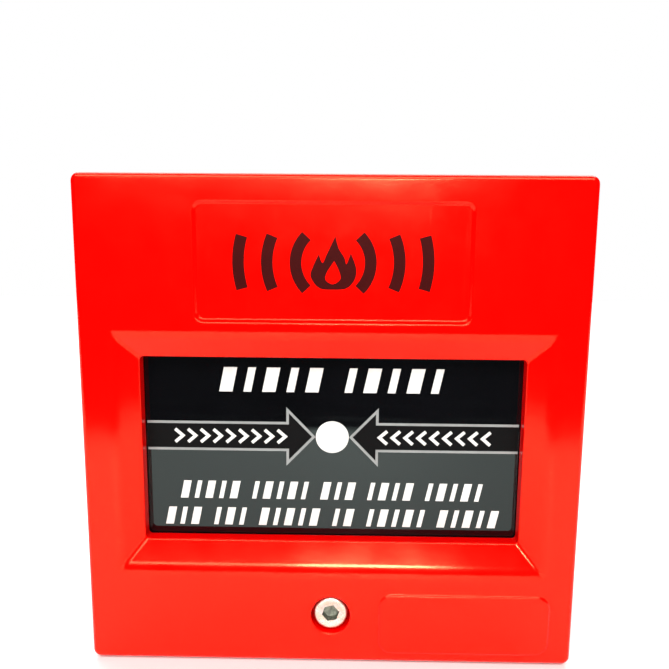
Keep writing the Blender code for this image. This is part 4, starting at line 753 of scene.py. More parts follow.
def finish_named(name):
    """A finish, made the first time a piece asks for it."""
    looks = bpy.context.scene.call_point_finishes
    makers = {
        "red": lambda: gloss_red(tuple(looks.red)),
        "pane": lambda: smoked_pane(tuple(looks.pane)),
        "ink_white": lambda: ink("ink_white", tuple(looks.ink_white)),
        "ink_black": lambda: ink("ink_black", tuple(looks.ink_black), 0.45, 0.08),
        "ink_grey": lambda: ink("ink_grey", tuple(looks.ink_grey)),
        "ink_sign": lambda: ink("ink_sign", tuple(looks.ink_sign), 0.4, 0.05),
        "steel": lambda: plated_steel(tuple(looks.steel)),
        # painted shade inside the cover screw's socket
        "socket_shade": lambda: soiled_steel(tuple(looks.socket_shade)),
        "spring": lambda: spring_wire(tuple(looks.spring)),
        "brass": lambda: dull_brass(tuple(looks.brass)),
        "black": lambda: moulded("black_nylon", tuple(looks.black)),
        "white": lambda: moulded("white_nylon", tuple(looks.white), 0.5),
        "green": lambda: moulded("green_nylon", tuple(looks.green), 0.4),
        "switch": lambda: moulded("switch_black", (0.045, 0.045, 0.05), 0.36, 0.006 * MM),
        "button": lambda: moulded("button_amber", tuple(looks.button), 0.36, 0.005 * MM),
        "board": lambda: solder_mask(tuple(looks.board)),
        "solder": bright_solder,
        "rubber": soft_rubber,
        "wire_red": lambda: wire_coat("wire_red", (0.55, 0.012, 0.010)),
        "wire_black": lambda: wire_coat("wire_black", (0.018, 0.018, 0.019)),
    }
    if name not in MATERIALS:
        MATERIALS[name] = makers[name]()
    return MATERIALS[name]


def turned(name, profile, place, turn=FACING_FRONT, steps=48, wave=None):
    """A lathe piece that starts at a point and grows the way it is turned."""
    built = bmesh.new()
    lathe(built, profile, steps, wave)
    matrix = Matrix.Translation(place) @ Matrix.Rotation(turn[0], 4, "X") @ Matrix.Rotation(turn[1], 4, "Y")
    built.transform(matrix)
    return new_piece(name, built)


def solid_box(name, low, high):
    """A box between two corners, as an object."""
    built = bmesh.new()
    box_mesh(built, low, high)
    return new_piece(name, built)


def tube(name, points, radius, cyclic=False):
    """A round wire along a smooth run of points, as a mesh."""
    curve = bpy.data.curves.new(name, "CURVE")
    curve.dimensions = "3D"
    curve.bevel_depth = radius
    curve.bevel_resolution = 4
    curve.use_fill_caps = True
    spline = curve.splines.new("POLY")
    spline.use_cyclic_u = cyclic
    spline.points.add(len(points) - 1)
    for slot, point in zip(spline.points, points):
        slot.co = (*point, 1.0)
    item = bpy.data.objects.new(name, curve)
    bpy.context.scene.collection.objects.link(item)
    return settle(item)


# ---------------------------------------------------------------- the cover


def window_corners():
    """The lower left and the upper right corner of the window, as (x, z)."""
    sizes = bpy.context.scene.call_point_cover
    low = (PANE_LOW.x + sizes.side_overlap, PANE_LOW.z + sizes.sill_overlap)
    high = (PANE_HIGH.x - sizes.side_overlap, PANE_HIGH.z - sizes.top_overlap)
    return low, high


def cover_skin(sizes):
    """The cover as one closed skin: face, walls, window, sunk panel, raised pad, pocket and bosses."""
    built = bmesh.new()
    face = COVER_LOW.y + sizes.pad_relief
    seam = HINGE_Y - sizes.seam_gap / 2 - face
    wall = sizes.wall
    low, high = (COVER_LOW.x, COVER_LOW.z), (COVER_HIGH.x, COVER_HIGH.z)

    def rings(corners, path, corner):
        return [(rectangle(*corners, out, corner), face + deep) for out, deep in path]

    def round_rings(x, z, path):
        return [(circle(x, z, radius), face + deep) for radius, deep in path]

    edge = sizes.front_edge
    outline = [(-1.1 * edge, 0), (0, 0), (0, seam), (-wall, seam), (-wall, wall), (-wall - 0.5 * MM, wall)]
    outline = rounded_path(outline, (edge, 0.25 * MM, 0.15 * MM, 0.35 * MM), 6)
    front, back = loft(built, rings((low, high), outline, sizes.corner))
    fronts, backs = [front], [back]

    step = PANE_LOW.y - sizes.pane_gap - face
    slope = sizes.slope_width
    window = [
        (slope + 1.8 * MM, 0),
        (slope, 0),
        (0, sizes.slope_depth),
        (0, step),
        (sizes.rim_wall, step),
        (sizes.rim_wall, wall),
        (sizes.rim_wall + 0.4 * MM, wall),
    ]
    radii = (sizes.slope_round, 0.35 * MM, 0.2 * MM, 0.2 * MM, 0.3 * MM)
    (left, sill), top = window_corners()
    window = [
        (rectangle((left, sill - 0.2 * out), top, out, 0.8 * MM - out), face + deep)
        for out, deep in rounded_path(window, radii, 10)
    ]
    front, back = loft(built, window)
    fronts.append(front)
    backs.append(back)

    pocket = sizes.counterbore
    way = sizes.screw_way
    boss = sizes.screw_boss
    screw = [
        (pocket + 0.5 * MM, 0),
        (pocket, 0),
        (pocket, sizes.counterbore_depth),
        (way, sizes.counterbore_depth),
        (way, sizes.screw_boss_depth),
        (boss, sizes.screw_boss_depth),
        (boss, wall),
        (boss + 0.4 * MM, wall),
    ]
    screw = rounded_path(screw, (0.3 * MM, 0.3 * MM, 0.15 * MM, 0.15 * MM, 0.3 * MM, 0.3 * MM), 4)
    front, back = loft(built, round_rings(0, SCREW_Z, screw))
    fronts.append(front)
    backs.append(back)

    border = sizes.panel_border
    half = sizes.panel_width / 2
    top = COVER_HIGH.z - sizes.panel_top_band
    panel = ((-half, top - sizes.panel_height), (half, top))
    eased = [(1 - i / 8, 0.5 - 0.5 * math.cos(math.pi * i / 8)) for i in range(9)]
    path = [(border * out, sizes.panel_depth * deep) for out, deep in eased]
    front, floor = loft(built, rings(panel, path, sizes.panel_border))
    fronts.append(front)
    fill(built, floor)

    right = COVER_HIGH.x - sizes.pad_side_band
    bottom = COVER_LOW.z + sizes.pad_bottom_band
    pad = ((right - sizes.pad_width, bottom), (right, bottom + sizes.pad_height))
    path = [(0.5 * MM * out, -sizes.pad_relief * deep) for out, deep in eased]
    front, floor = loft(built, rings(pad, path, 2.2 * MM))
    fronts.append(front)
    fill(built, floor)

    boss_end = RETAINER_HIGH.y - 2.1 * MM - face
    pilot_end = boss_end - 7.2 * MM
    boss = sizes.retainer_boss
    pilot = sizes.retainer_pilot
    for side in ("lower_left", "lower_right", "upper_left", "upper_right"):
        place = middle_of(f"retainer_screw_{side}")
        post = [(boss + 0.3 * MM, wall), (boss, wall), (boss, boss_end)]
        post += [(pilot, boss_end), (pilot, pilot_end)]
        post = rounded_path(post, (0.25 * MM, 0.2 * MM, 0.2 * MM), 3)
        back, end = loft(built, round_rings(place.x, place.z, post))
        backs.append(back)
        fill(built, end)
    fill(built, *fronts)
    fill(built, *backs)
    bmesh.ops.recalc_face_normals(built, faces=built.faces)
    return new_piece("cover_shell", built)


def hinged_edge(shell, sizes):
    """Adds the bead along the cover's top seam, then cuts it for the back box's knuckles and the pins."""
    radius = HINGE_RADIUS
    start = COVER_LOW.x + sizes.running_gap
    end = COVER_HIGH.x - sizes.running_gap
    profile = [(0, end - start), (radius - 0.3 * MM, end - start), (radius, end - start - 0.3 * MM)]
    profile += [(radius, 0.3 * MM), (radius - 0.3 * MM, 0), (0, 0)]
    bead = turned("bead", profile, (start, HINGE_Y, HINGE_Z), ALONG_X)
    shell = combined(shell, bead, "UNION")
    for side in (-1, 1):
        middle = side * sizes.knuckle_place
        half = sizes.knuckle / 2 + sizes.seam_gap
        low = (middle - half, HINGE_Y - radius - sizes.seam_gap, HINGE_Z - radius - sizes.wall)
        high = (middle + half, HINGE_Y + 2 * radius, COVER_HIGH.z + radius)
        shell = combined(shell, solid_box("notch", low, high), "DIFFERENCE")
        reach = abs(middle) - (PIN_LOW.x - sizes.seam_gap)
        bore = PIN_HIGH.z - HINGE_Z + sizes.running_gap
        start = middle - reach if side > 0 else middle - 2 * reach
        profile = [(0, 3 * reach), (bore, 3 * reach), (bore, 0), (0, 0)]
        tool = turned("bore", profile, (start, HINGE_Y, HINGE_Z), ALONG_X, 32)
        shell = combined(shell, tool, "DIFFERENCE")
    return shell


class CALLPOINT_OT_cover(bpy.types.Operator):
    """Moulds the front cover."""

    bl_idname = "callpoint.cover"
    bl_label = "Front cover"

    def execute(self, context):
        sizes = context.scene.call_point_cover
        shell = hinged_edge(cover_skin(sizes), sizes)
        shell = smooth(shell, 30.0)
        shell.name = "cover_shell"
        finish_piece(shell, finish_named("red"), "cover", ["front_cover"])
        return {"FINISHED"}


class CALLPOINT_OT_back_box(bpy.types.Operator):
    """Moulds the back box and its rubber cable grommet."""

    bl_idname = "callpoint.back_box"
    bl_label = "Back box"

    def execute(self, context):
        box = refined("rear_housing", "back_box_shell", 0.25 * MM)
        finish_piece(box, finish_named("red"), "back_box", ["rear_housing"])
        low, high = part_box("cable_grommet")
        flange = (high.x - low.x) / 2
        sleeve = flange - 1.8 * MM
        bore = flange - 5.0 * MM
        top = high.y - low.y
        shelf = top - 1.5 * MM
        path = [(flange, shelf), (flange, top), (bore, top), (bore, 0)]
        path += [(sleeve, 0), (sleeve, shelf), (flange, shelf)]
        path = rounded_path(path, (0.6 * MM, 0.7 * MM, 0.7 * MM, 0.5 * MM, 0.2 * MM), 5)[1:-1]
        place = (0, high.y, middle_of("cable_grommet").z)
        grommet = smooth(turned("grommet", path, place, steps=72))
        finish_piece(grommet, finish_named("rubber"), "back_box", ["cable_grommet"])
        return {"FINISHED"}


# ---------------------------------------------------------------- pane, print and sign


class CALLPOINT_OT_pane(bpy.types.Operator):
    """Makes the dark pane with its ground edge, and the carrier behind it."""

    bl_idname = "callpoint.pane"
    bl_label = "Pane"

    def execute(self, context):
        built = bmesh.new()
        thick = PANE_HIGH.y - PANE_LOW.y
        bevel = 0.35 * MM
        path = [(-2 * bevel, 0), (0, 0), (0, thick), (-2 * bevel, thick)]
        path = rounded_path(path, (bevel, bevel), 4)
        corners = ((PANE_LOW.x, PANE_LOW.z), (PANE_HIGH.x, PANE_HIGH.z))
        rings = [(rectangle(*corners, out, 1.0 * MM), PANE_LOW.y + deep) for out, deep in path]
        front, back = loft(built, rings)
        fill(built, front)
        fill(built, back)
        bmesh.ops.recalc_face_normals(built, faces=built.faces)
        pane = smooth(new_piece("pane", built))
        finish_piece(pane, finish_named("pane"), "glass", ["glass_pane"])
        carrier = refined("glass_carrier", "pane_carrier", 0.18 * MM)
        finish_piece(carrier, finish_named("black"), "glass", ["glass_carrier"])
        return {"FINISHED"}


def flat_shape(built, outline, front, back, holes=()):
    """An outline of (x, z) points with its holes, given a thickness."""
    fronts, backs = [], []
    for loop in (outline, *holes):
        first, last = loft(built, [(loop, front), (loop, back)])
        fronts.append(first)
        backs.append(last)
    fill(built, *fronts)
    fill(built, *backs)


def ribbon(points, width):
    """The outline of a line of that width along (x, z) points, mitred at its corners."""
    sides = ([], [])
    for i, point in enumerate(points):
        here = Vector(point)
        before = (here - Vector(points[i - 1])).normalized() if i else None
        after = (Vector(points[i + 1]) - here).normalized() if i + 1 < len(points) else None
        before, after = before or after, after or before
        along = (before + after).normalized()
        across = Vector((-along.y, along.x)) * (width / 2 / max(0.3, along.dot(after)))
        sides[0].append(tuple(here + across))
        sides[1].append(tuple(here - across))
    return sides[0] + sides[1][::-1]


def arrow_points(sizes, side):
    """An arrow that points at the dot, from the window's edge, as (x, z) points."""
    edge = window_corners()[1][0] - 0.25 * MM
    z = sizes.press_height
    shaft = sizes.shaft_height / 2
    head = sizes.head_height / 2
    half = [(edge, shaft), (sizes.head_base, shaft), (sizes.head_base, head), (sizes.head_tip, 0)]
    mirrored = [(x, -height) for x, height in half[:-1]][::-1]
    return [(side * x, z + height) for x, height in half + mirrored]


def finish_print(name, built, finish, body):
    """Turns printed shapes into a piece with its ink."""
    bmesh.ops.recalc_face_normals(built, faces=built.faces)
    return finish_piece(new_piece(name, built), finish_named(finish), body)


def word_places(words, pitch):
    """Middles of the blocks in a row of words, centred on zero."""
    places = []
    x = 0.0
    for count in words:
        places += [x + i * pitch for i in range(count)]
        x += (count + 0.7) * pitch
    middle = (places[0] + places[-1]) / 2
    return [place - middle for place in places]


def slanted_block(width, height, thick):
    """A leaning block that stands for a letter."""
    built = bmesh.new()
    x, z = width / 2, height / 2
    corners = [(-x, -z), (x, -z), (x, z), (-x, z)]
    flat_shape(built, [(x + 0.21 * z, z) for x, z in corners], -thick / 2, thick / 2)
    bmesh.ops.recalc_face_normals(built, faces=built.faces)
    return new_piece("slanted_block", built)


def white_row(name, prototype, points):
    """A row of like white marks on the pane."""
    made = repeated(name, prototype, points, FACING_UP, finish_named("ink_white"))
    return finish_piece(made, finish_named("ink_white"), "glass")


def chevron(side, width, height, thick):
    """A mark that points at the dot from the given side."""
    built = bmesh.new()
    tip = -side * width / 2
    line = ribbon([(-tip, height / 2), (tip, 0), (-tip, -height / 2)], width * 0.42)
    flat_shape(built, line, -thick / 2, thick / 2)
    bmesh.ops.recalc_face_normals(built, faces=built.faces)
    return new_piece("chevron", built)


class CALLPOINT_OT_print(bpy.types.Operator):
    """Prints the pane: two arrows, the dot to press, and plain blocks in place of words."""

    bl_idname = "callpoint.print"
    bl_label = "Print on the pane"

    def execute(self, context):
        sizes = context.scene.call_point_print
        film = sizes.film
        front = PANE_LOW.y
        black, grey, white = bmesh.new(), bmesh.new(), bmesh.new()
        for side in (-1, 1):
            arrow = arrow_points(sizes, side)
            flat_shape(black, arrow, front - film, front - 0.1 * film)
            flat_shape(grey, ribbon(arrow, sizes.outline), front - 2 * film, front - 1.1 * film)
        dot = circle(0, sizes.press_height, sizes.dot, 64)
        flat_shape(white, dot, front - 3 * film, front - 2.1 * film)
        finish_print("print_arrows", black, "ink_black", "glass")
        finish_print("print_outlines", grey, "ink_grey", "glass")
        finish_print("print_dot", white, "ink_white", "glass")

        lower = sizes.note_place - sizes.note_pitch
        tall = sizes.note_height
        rows = (
            ("print_title", (5, 5), 4.15 * MM, sizes.title_height, sizes.title_place),
            ("print_note_upper", (5, 5, 3, 4, 5), 2.42 * MM, tall, sizes.note_place),
            ("print_note_lower", (3, 3, 5, 2, 5, 5), 2.50 * MM, tall, lower),
        )
        for name, words, pitch, height, z in rows:
            points = [(x, front - 1.5 * film, z) for x in word_places(words, pitch)]
            for first, (kind, share) in enumerate((("broad", 0.62), ("fine", 0.36))):
                block = slanted_block(pitch * share, height, film)
                white_row(f"{name}_{kind}", block, points[first::2])
        for side, label in ((-1, "left"), (1, "right")):
            first = sizes.head_base + 1.2 * MM
            places = [side * (first + i * 2.5 * MM) for i in range(9)]
            points = [(x, front - 2.5 * film, sizes.press_height) for x in places]
            mark = chevron(side, 1.5 * MM, 2.6 * MM, film)
            white_row(f"print_chevrons_{label}", mark, points)
        return {"FINISHED"}


# The flame's points, for a flame one unit high, and which of them stay sharp.
FLAME = ((0, 0), (-0.26, 0.03), (-0.42, 0.24), (-0.37, 0.45), (-0.27, 0.66), (-0.20, 0.50))
FLAME += ((-0.12, 0.66), (0.04, 1.0), (0.10, 0.78), (0.21, 0.60), (0.25, 0.48))
FLAME += ((0.33, 0.68), (0.43, 0.42), (0.41, 0.20), (0.26, 0.03))
FLAME_TIPS = (4, 7, 11)
FLAME_HEART = ((0, 0.10), (-0.14, 0.18), (-0.12, 0.32), (0.02, 0.54), (0.11, 0.36), (0.14, 0.20))
FLAME_HEART_TIPS = (3,)


def flowing(points, tips, steps=6):
    """A closed smooth line through points that stays sharp at its tips."""
    line = []
    count = len(points)
    for i in range(count):
        p0, p1, p2, p3 = (Vector(points[(i + k) % count]) for k in (-1, 0, 1, 2))
        start = Vector((0, 0)) if i in tips else (p2 - p0) / 2
        end = Vector((0, 0)) if (i + 1) % count in tips else (p3 - p1) / 2
        for k in range(steps):
            t = k / steps
            a, b = 2 * t**3 - 3 * t**2 + 1, t**3 - 2 * t**2 + t
            c, d = -2 * t**3 + 3 * t**2, t**3 - t**2
            line.append(tuple(p1 * a + start * b + p2 * c + end * d))
    return line


class CALLPOINT_OT_sign(bpy.types.Operator):
    """Prints the sunk panel with a flame between bands of sound."""

    bl_idname = "callpoint.sign"
    bl_label = "Sign"

    def execute(self, context):
        cover = context.scene.call_point_cover
        sizes = context.scene.call_point_print
        floor = COVER_LOW.y + cover.pad_relief + cover.panel_depth
        back = floor - 0.1 * sizes.film
        front = floor - 2 * sizes.film
        z = COVER_HIGH.z - cover.panel_top_band - cover.panel_height / 2
        tall = sizes.sign_height
        built = bmesh.new()

        def placed(line):
            return [(x * tall, z + (height - 0.5) * tall) for x, height in line]

        heart = placed(flowing(FLAME_HEART, FLAME_HEART_TIPS))
        flat_shape(built, placed(flowing(FLAME, FLAME_TIPS)), front, back, [heart])
        bands = 3
        nearest = 6.8 * MM
        pitch = (sizes.sign_reach - nearest) / (bands - 1)
        for i in range(bands):
            radius = nearest + i * pitch
            half = math.asin(min(0.8, tall / 2 / radius))
            turns = [half * k / 12 for k in range(-12, 13)]
            arc = [(radius * math.cos(turn), radius * math.sin(turn)) for turn in turns]
            for side in (-1, 1):
                line = [(side * x, z + height) for x, height in arc]
                flat_shape(built, ribbon(line, sizes.sign_stroke), front, back)
        finish_print("sign_flame", built, "ink_sign", "cover")
        return {"FINISHED"}


# ---------------------------------------------------------------- fasteners


def thread_steps(radius, start, end, pitch, depth):
    """Profile points of a thread's ridges from one height down to another."""
    points = []
    height = start
    while height - pitch > end:
        points.append((radius - depth, height))
        points += [(radius, height - 0.35 * pitch), (radius, height - 0.55 * pitch)]
        height -= pitch
    return points


def cross_tool(reach, depth, top):
    """A tapered cross that a driver leaves in a screw's head."""
    arms = []
    for turn in (0.0, math.pi / 2):
        built = bmesh.new()
        corners = box_mesh(built, (-reach, -0.16 * reach, top - depth), (reach, 0.16 * reach, top + MM))
        for corner in corners:
            if corner.co.z < top:
                corner.co.x *= 0.35
                corner.co.y *= 0.7
        built.transform(Matrix.Rotation(turn, 4, "Z"))
        arms.append(new_piece("cross_arm", built))
    return combined(arms[0], arms[1], "UNION")


def slot_tool(reach, width, depth, top):
    """The straight slot in a clamp screw's head."""
    low = (-2 * reach, -width / 2, top - depth)
    return solid_box("slot_tool", low, (2 * reach, width / 2, top + MM))


def pan_screw(shank, head, height, reach, slotted=False, pitch=0.5 * MM):
    """A screw with its head above z = 0 and its threaded shank below."""
    crown = [(0, height), (0.35 * head, height * 0.99)]
    for i in range(6):
        angle = math.radians(90 * i / 5)
        crown.append((head * (0.62 + 0.38 * math.sin(angle)), height * (0.30 + 0.65 * math.cos(angle))))
    crown += [(head, 0.08 * MM), (head - 0.08 * MM, 0), (shank, 0)]
    crown += thread_steps(shank, -0.6 * MM, -reach + 0.5 * MM, pitch, 0.16 * shank)
    crown += [(0.8 * shank, -reach + 0.4 * MM), (0.45 * shank, -reach), (0, -reach)]
    built = bmesh.new()
    lathe(built, crown, 32)
    screw = new_piece("pan_screw", built)
    if slotted:
        tool = slot_tool(head, 0.5 * MM, 0.45 * height, height)
    else:
        tool = cross_tool(0.55 * head, 0.6 * height, height)
    return combined(screw, tool, "DIFFERENCE")


def under_head(node, turn, height):
    """Where a screw's head seats, and how far its shank reaches, from its frame node."""
    low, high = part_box(node)
    place = (low + high) / 2
    if turn == FACING_FRONT:
        place.y = low.y + height
        return place, high.y - place.y
    if turn == FACING_BACK:
        place.y = high.y - height
        return place, place.y - low.y
    place.z = high.z - height
    return place, place.z - low.z


def screw_group(name, nodes, shank, height, turn, body, slotted=False):
    """One mesh of like screws, each where its frame node says."""
    low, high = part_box(nodes[0])
    head = (high.x - low.x) / 2
    seats = [under_head(node, turn, height) for node in nodes]
    prototype = pan_screw(shank, head, height, seats[0][1], slotted)
    steel = finish_named("steel")
    made = repeated(name, prototype, [seat[0] for seat in seats], turn, steel)
    return finish_piece(made, steel, body, nodes)


CORNERS = ("lower_left", "lower_right", "upper_left", "upper_right")


class CALLPOINT_OT_screws(bpy.types.Operator):
    """Sets the chassis, board, bridge, terminal, switch and retainer screws."""

    bl_idname = "callpoint.screws"
    bl_label = "Screws and nuts"

    def execute(self, context):
        cross = [f"chassis_screw_{corner}" for corner in CORNERS]
        screw_group("chassis_fixings", cross, 1.5 * MM, 1.7 * MM, FACING_FRONT, "back_box")
        cross = [f"board_screw_{corner}" for corner in CORNERS]
        screw_group("board_fixings", cross, 1.25 * MM, 1.4 * MM, FACING_FRONT, "back_box")
        cross = [f"bridge_screw_{side}" for side in ("left", "right")]
        screw_group("bridge_fixings", cross, 1.0 * MM, 1.2 * MM, FACING_FRONT, "back_box")
        cross = [f"switch_screw_{side}" for side in ("left", "right")]
        screw_group("switch_fixings", cross, 1.0 * MM, 1.2 * MM, FACING_UP, "back_box", slotted=True)
        cross = [f"retainer_screw_{corner}" for corner in CORNERS]
        screw_group("retainer_fixings", cross, 1.25 * MM, 1.4 * MM, FACING_BACK, "cover")
        cross = [f"terminal_screw_{i}" for i in range(1, 5)]
        screw_group("terminal_clamps", cross, 1.15 * MM, 1.6 * MM, FACING_FRONT, "back_box", slotted=True)

        nuts = ["switch_nut_left", "switch_nut_right"]
        low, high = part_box(nuts[0])
        tall = high.z - low.z
        corner = (high.y - low.y) / 2
        built = bmesh.new()
        ring = circle(0, 0, corner, 6)
        first, last = loft(built, [(ring, -tall / 2), (ring, tall / 2)])
        fill(built, first)
        fill(built, last)
        bmesh.ops.recalc_face_normals(built, faces=built.faces)
        built.transform(Matrix.Rotation(math.pi / 2, 4, "X") @ Matrix.Rotation(math.pi / 6, 4, "Y"))
        nut = new_piece("nut", built)
        flat = 0.87 * corner
        cut = 0.25 * MM
        chamfer = [(0, tall / 2), (flat, tall / 2), (corner, tall / 2 - cut)]
        chamfer += [(corner, cut - tall / 2), (flat, -tall / 2), (0, -tall / 2)]
        nut = combined(nut, turned("chamfer", chamfer, (0, 0, 0), FACING_UP), "INTERSECT")
        bore = [(0, tall), (1.05 * MM, tall), (1.05 * MM, -tall), (0, -tall)]
        nut = combined(nut, turned("bore", bore, (0, 0, 0), FACING_UP), "DIFFERENCE")
        places = [middle_of(node) for node in nuts]
        made = repeated("switch_fixing_nuts", nut, places, FACING_UP, finish_named("steel"))
        finish_piece(made, finish_named("steel"), "back_box", nuts)
        return {"FINISHED"}


def hexagon_tool(across, bottom, top):
    """A six-sided pocket with a drilled cone at its end."""
    built = bmesh.new()
    corner = across / math.sqrt(3)
    lathe(built, [(0, top), (corner, top), (corner, bottom), (0, bottom)], 6)
    tool = new_piece("hexagon", built)
    built = bmesh.new()
    lathe(built, [(0, top), (across * 0.46, top), (across * 0.46, bottom), (0, bottom - 0.25 * across)], 32)
    return combined(tool, new_piece("drill", built), "UNION")


def paint_socket_shade(screw, across, depth):
    """Gives the faces inside the cover screw's socket their own finish: darker plating, as painted shade.
    """
    screw.data.materials.append(finish_named("socket_shade"))
    rim = SCREW_LOW.y + 0.2 * MM
    for face in screw.data.polygons:
        out = math.hypot(face.center.x, face.center.z - SCREW_Z)
        if out < 0.6 * across and rim < face.center.y < rim + 1.5 * depth:
            face.material_index = 1


class CALLPOINT_OT_captive_screw(bpy.types.Operator):
    """Turns the captive cover screw, its clip and the brass insert that it runs into."""

    bl_idname = "callpoint.captive_screw"
    bl_label = "Captive screw"

    def execute(self, context):
        long = SCREW_HIGH.y - SCREW_LOW.y
        head = (SCREW_HIGH.x - SCREW_LOW.x) / 2
        head_back = long - 3.0 * MM
        shank = 1.75 * MM
        clip_low, clip_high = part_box("screw_clip")
        groove_low = SCREW_HIGH.y - clip_high.y - 0.05 * MM
        groove_high = SCREW_HIGH.y - clip_low.y + 0.05 * MM
        groove = 1.3 * MM
        pitch = 0.7 * MM
        threaded = groove_low - 0.6 * MM
        profile = [(0, long - 0.12 * MM), (0.55 * head, long - 0.12 * MM)]
        profile += [(0.68 * head, long - 0.02 * MM), (0.80 * head, long)]
        for i in range(5):
            angle = math.radians(90 * i / 4)
            spread = 0.45 * MM
            height = long - spread * (1 - math.cos(angle))
            profile.append((head - spread + spread * math.sin(angle), height))
        profile += [(head, head_back + 0.2 * MM), (head - 0.2 * MM, head_back), (shank, head_back)]
        profile += [(shank, groove_high), (groove, groove_high), (groove, groove_low), (shank, groove_low)]
        rings = 90
        run = threaded - 0.5 * MM
        profile += [(shank, threaded - run * i / rings) for i in range(rings + 1)]
        profile += [(0.68 * shank, 0), (0, 0)]

        thread_depth = 0.26 * MM

        def helix(angle, height):
            if not 0.3 * MM < height < threaded - 0.2 * MM:
                return 0.0
            phase = height / pitch - angle / (2 * math.pi)
            share = abs((phase % 1.0) * 2 - 1)
            return -thread_depth * min(1.0, max(0.0, 1.35 * share - 0.2))

        screw = turned("captive_screw", profile, (0, 0, 0), FACING_UP, 48, helix)
        across = 3.0 * MM
        depth = 1.8 * MM
        socket = hexagon_tool(across, long - depth, long + MM)
        screw = combined(screw, socket, "DIFFERENCE")
        place = Matrix.Translation((0, SCREW_HIGH.y, SCREW_Z)) @ Matrix.Rotation(FACING_FRONT[0], 4, "X")
        tightened_at = 0.21
        screw.data.transform(place @ Matrix.Rotation(tightened_at, 4, "Z"))
        screw = smooth(screw, 34.0)
        finish_piece(screw, finish_named("steel"), "cover_screw", ["cover_screw"])
        # paints shade into the cover screw's socket by giving its faces the darker steel
        paint_socket_shade(screw, across, depth)

        built = bmesh.new()
        outer = (clip_high.x - clip_low.x) / 2
        middle = middle_of("screw_clip")
        opening = math.radians(26)
        turns = [opening + (2 * math.pi - 2 * opening) * i / 60 for i in range(61)]
        outside = [(outer, turn) for turn in turns]
        grip = 1.95 * MM
        inside = []
        for turn in turns[::-1]:
            lobe = max(0.0, math.cos(3 * (turn - math.pi))) ** 2
            inside.append((grip - 0.6 * MM * lobe, turn))
        ring = [
            (middle.x + radius * math.sin(turn), middle.z - radius * math.cos(turn))
            for radius, turn in outside + inside
        ]
        flat_shape(built, ring, clip_low.y, clip_high.y)
        bmesh.ops.recalc_face_normals(built, faces=built.faces)
        clip = new_piece("captive_clip", built)
        edges = clip.modifiers.new("edges", "BEVEL")
        edges.width = 0.08 * MM
        edges.segments = 2
        edges.angle_limit = math.radians(50)
        clip = smooth(settle(clip))
        finish_piece(clip, finish_named("spring"), "screw_clip", ["screw_clip"])

        low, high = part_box("screw_insert")
        tall = high.y - low.y
        outer = (high.x - low.x) / 2
        bore = 2.1 * MM
        knurl = [(outer - 0.25 * MM, 0), (outer, 0.25 * MM)]
        knurl += [(outer, 0.25 * MM + (0.4 * tall) * i / 6) for i in range(1, 7)]
        knurl += [(outer - 0.5 * MM, 0.46 * tall), (outer - 0.5 * MM, 0.54 * tall)]
        knurl += [(outer, 0.56 * tall + (0.38 * tall) * i / 6) for i in range(7)]
        knurl += [(outer - 0.25 * MM, tall), (bore + 0.3 * MM, tall)]
        height = tall - 0.3 * MM
        while height > 0.6 * MM:
            knurl += [(bore, height), (bore + 0.14 * MM, height - 0.3 * MM)]
            height -= pitch
        knurl.append((bore + 0.3 * MM, 0))

        def ridges(angle, height):
            lean = 1.0 if height < tall / 2 else -1.0
            band = 0.2 * MM < height < 0.44 * tall or 0.55 * tall < height < tall - 0.2 * MM
            wave = 0.5 + 0.5 * math.cos(30 * angle + lean * height / MM * 1.6)
            return -0.13 * MM * wave if band else 0.0

        insert = turned("knurled_insert", knurl, (0, high.y, SCREW_Z), FACING_FRONT, 180)
        centre = Vector((0, 0, SCREW_Z))
        for corner in insert.data.vertices:
            out = Vector((corner.co.x, 0, corner.co.z)) - centre
            if out.length > outer - 0.1 * MM:
                angle = math.atan2(out.z, out.x)
                out *= 1 + ridges(angle, high.y - corner.co.y) / out.length
                corner.co.x, corner.co.z = out.x, SCREW_Z + out.z
        finish_piece(smooth(insert), finish_named("brass"), "back_box", ["screw_insert"])
        return {"FINISHED"}


class CALLPOINT_OT_hinge_pins(bpy.types.Operator):
    """Turns the two hinge pins."""

    bl_idname = "callpoint.hinge_pins"
    bl_label = "Hinge pins"

    def execute(self, context):
        long = PIN_HIGH.x - PIN_LOW.x
        radius = (PIN_HIGH.z - PIN_LOW.z) / 2
        profile = [(0, long), (0.55 * radius, long), (0.85 * radius, long - 0.12 * MM)]
        profile += [(radius, long - 0.4 * MM), (radius, 0.4 * MM)]
        profile += [(0.85 * radius, 0.12 * MM), (0.55 * radius, 0), (0, 0)]
        built = bmesh.new()
        lathe(built, profile, 32)
        pin = new_piece("pin", built)
        points = [(PIN_LOW.x, HINGE_Y, HINGE_Z), (-PIN_HIGH.x, HINGE_Y, HINGE_Z)]
        made = repeated("hinge_rods", pin, points, ALONG_X, finish_named("steel"))
        nodes = ["hinge_pin_left", "hinge_pin_right"]
        finish_piece(made, finish_named("steel"), "cover", nodes)
        return {"FINISHED"}


# ---------------------------------------------------------------- inside the cover


class CALLPOINT_OT_retainer(bpy.types.Operator):
    """Makes the frame that holds the pane's four springs."""

    bl_idname = "callpoint.retainer"
    bl_label = "Retainer"

    def execute(self, context):
        frame_piece = refined("glass_retainer", "retainer_frame", 0.2 * MM)
        finish_piece(frame_piece, finish_named("black"), "cover", ["glass_retainer"])
        return {"FINISHED"}


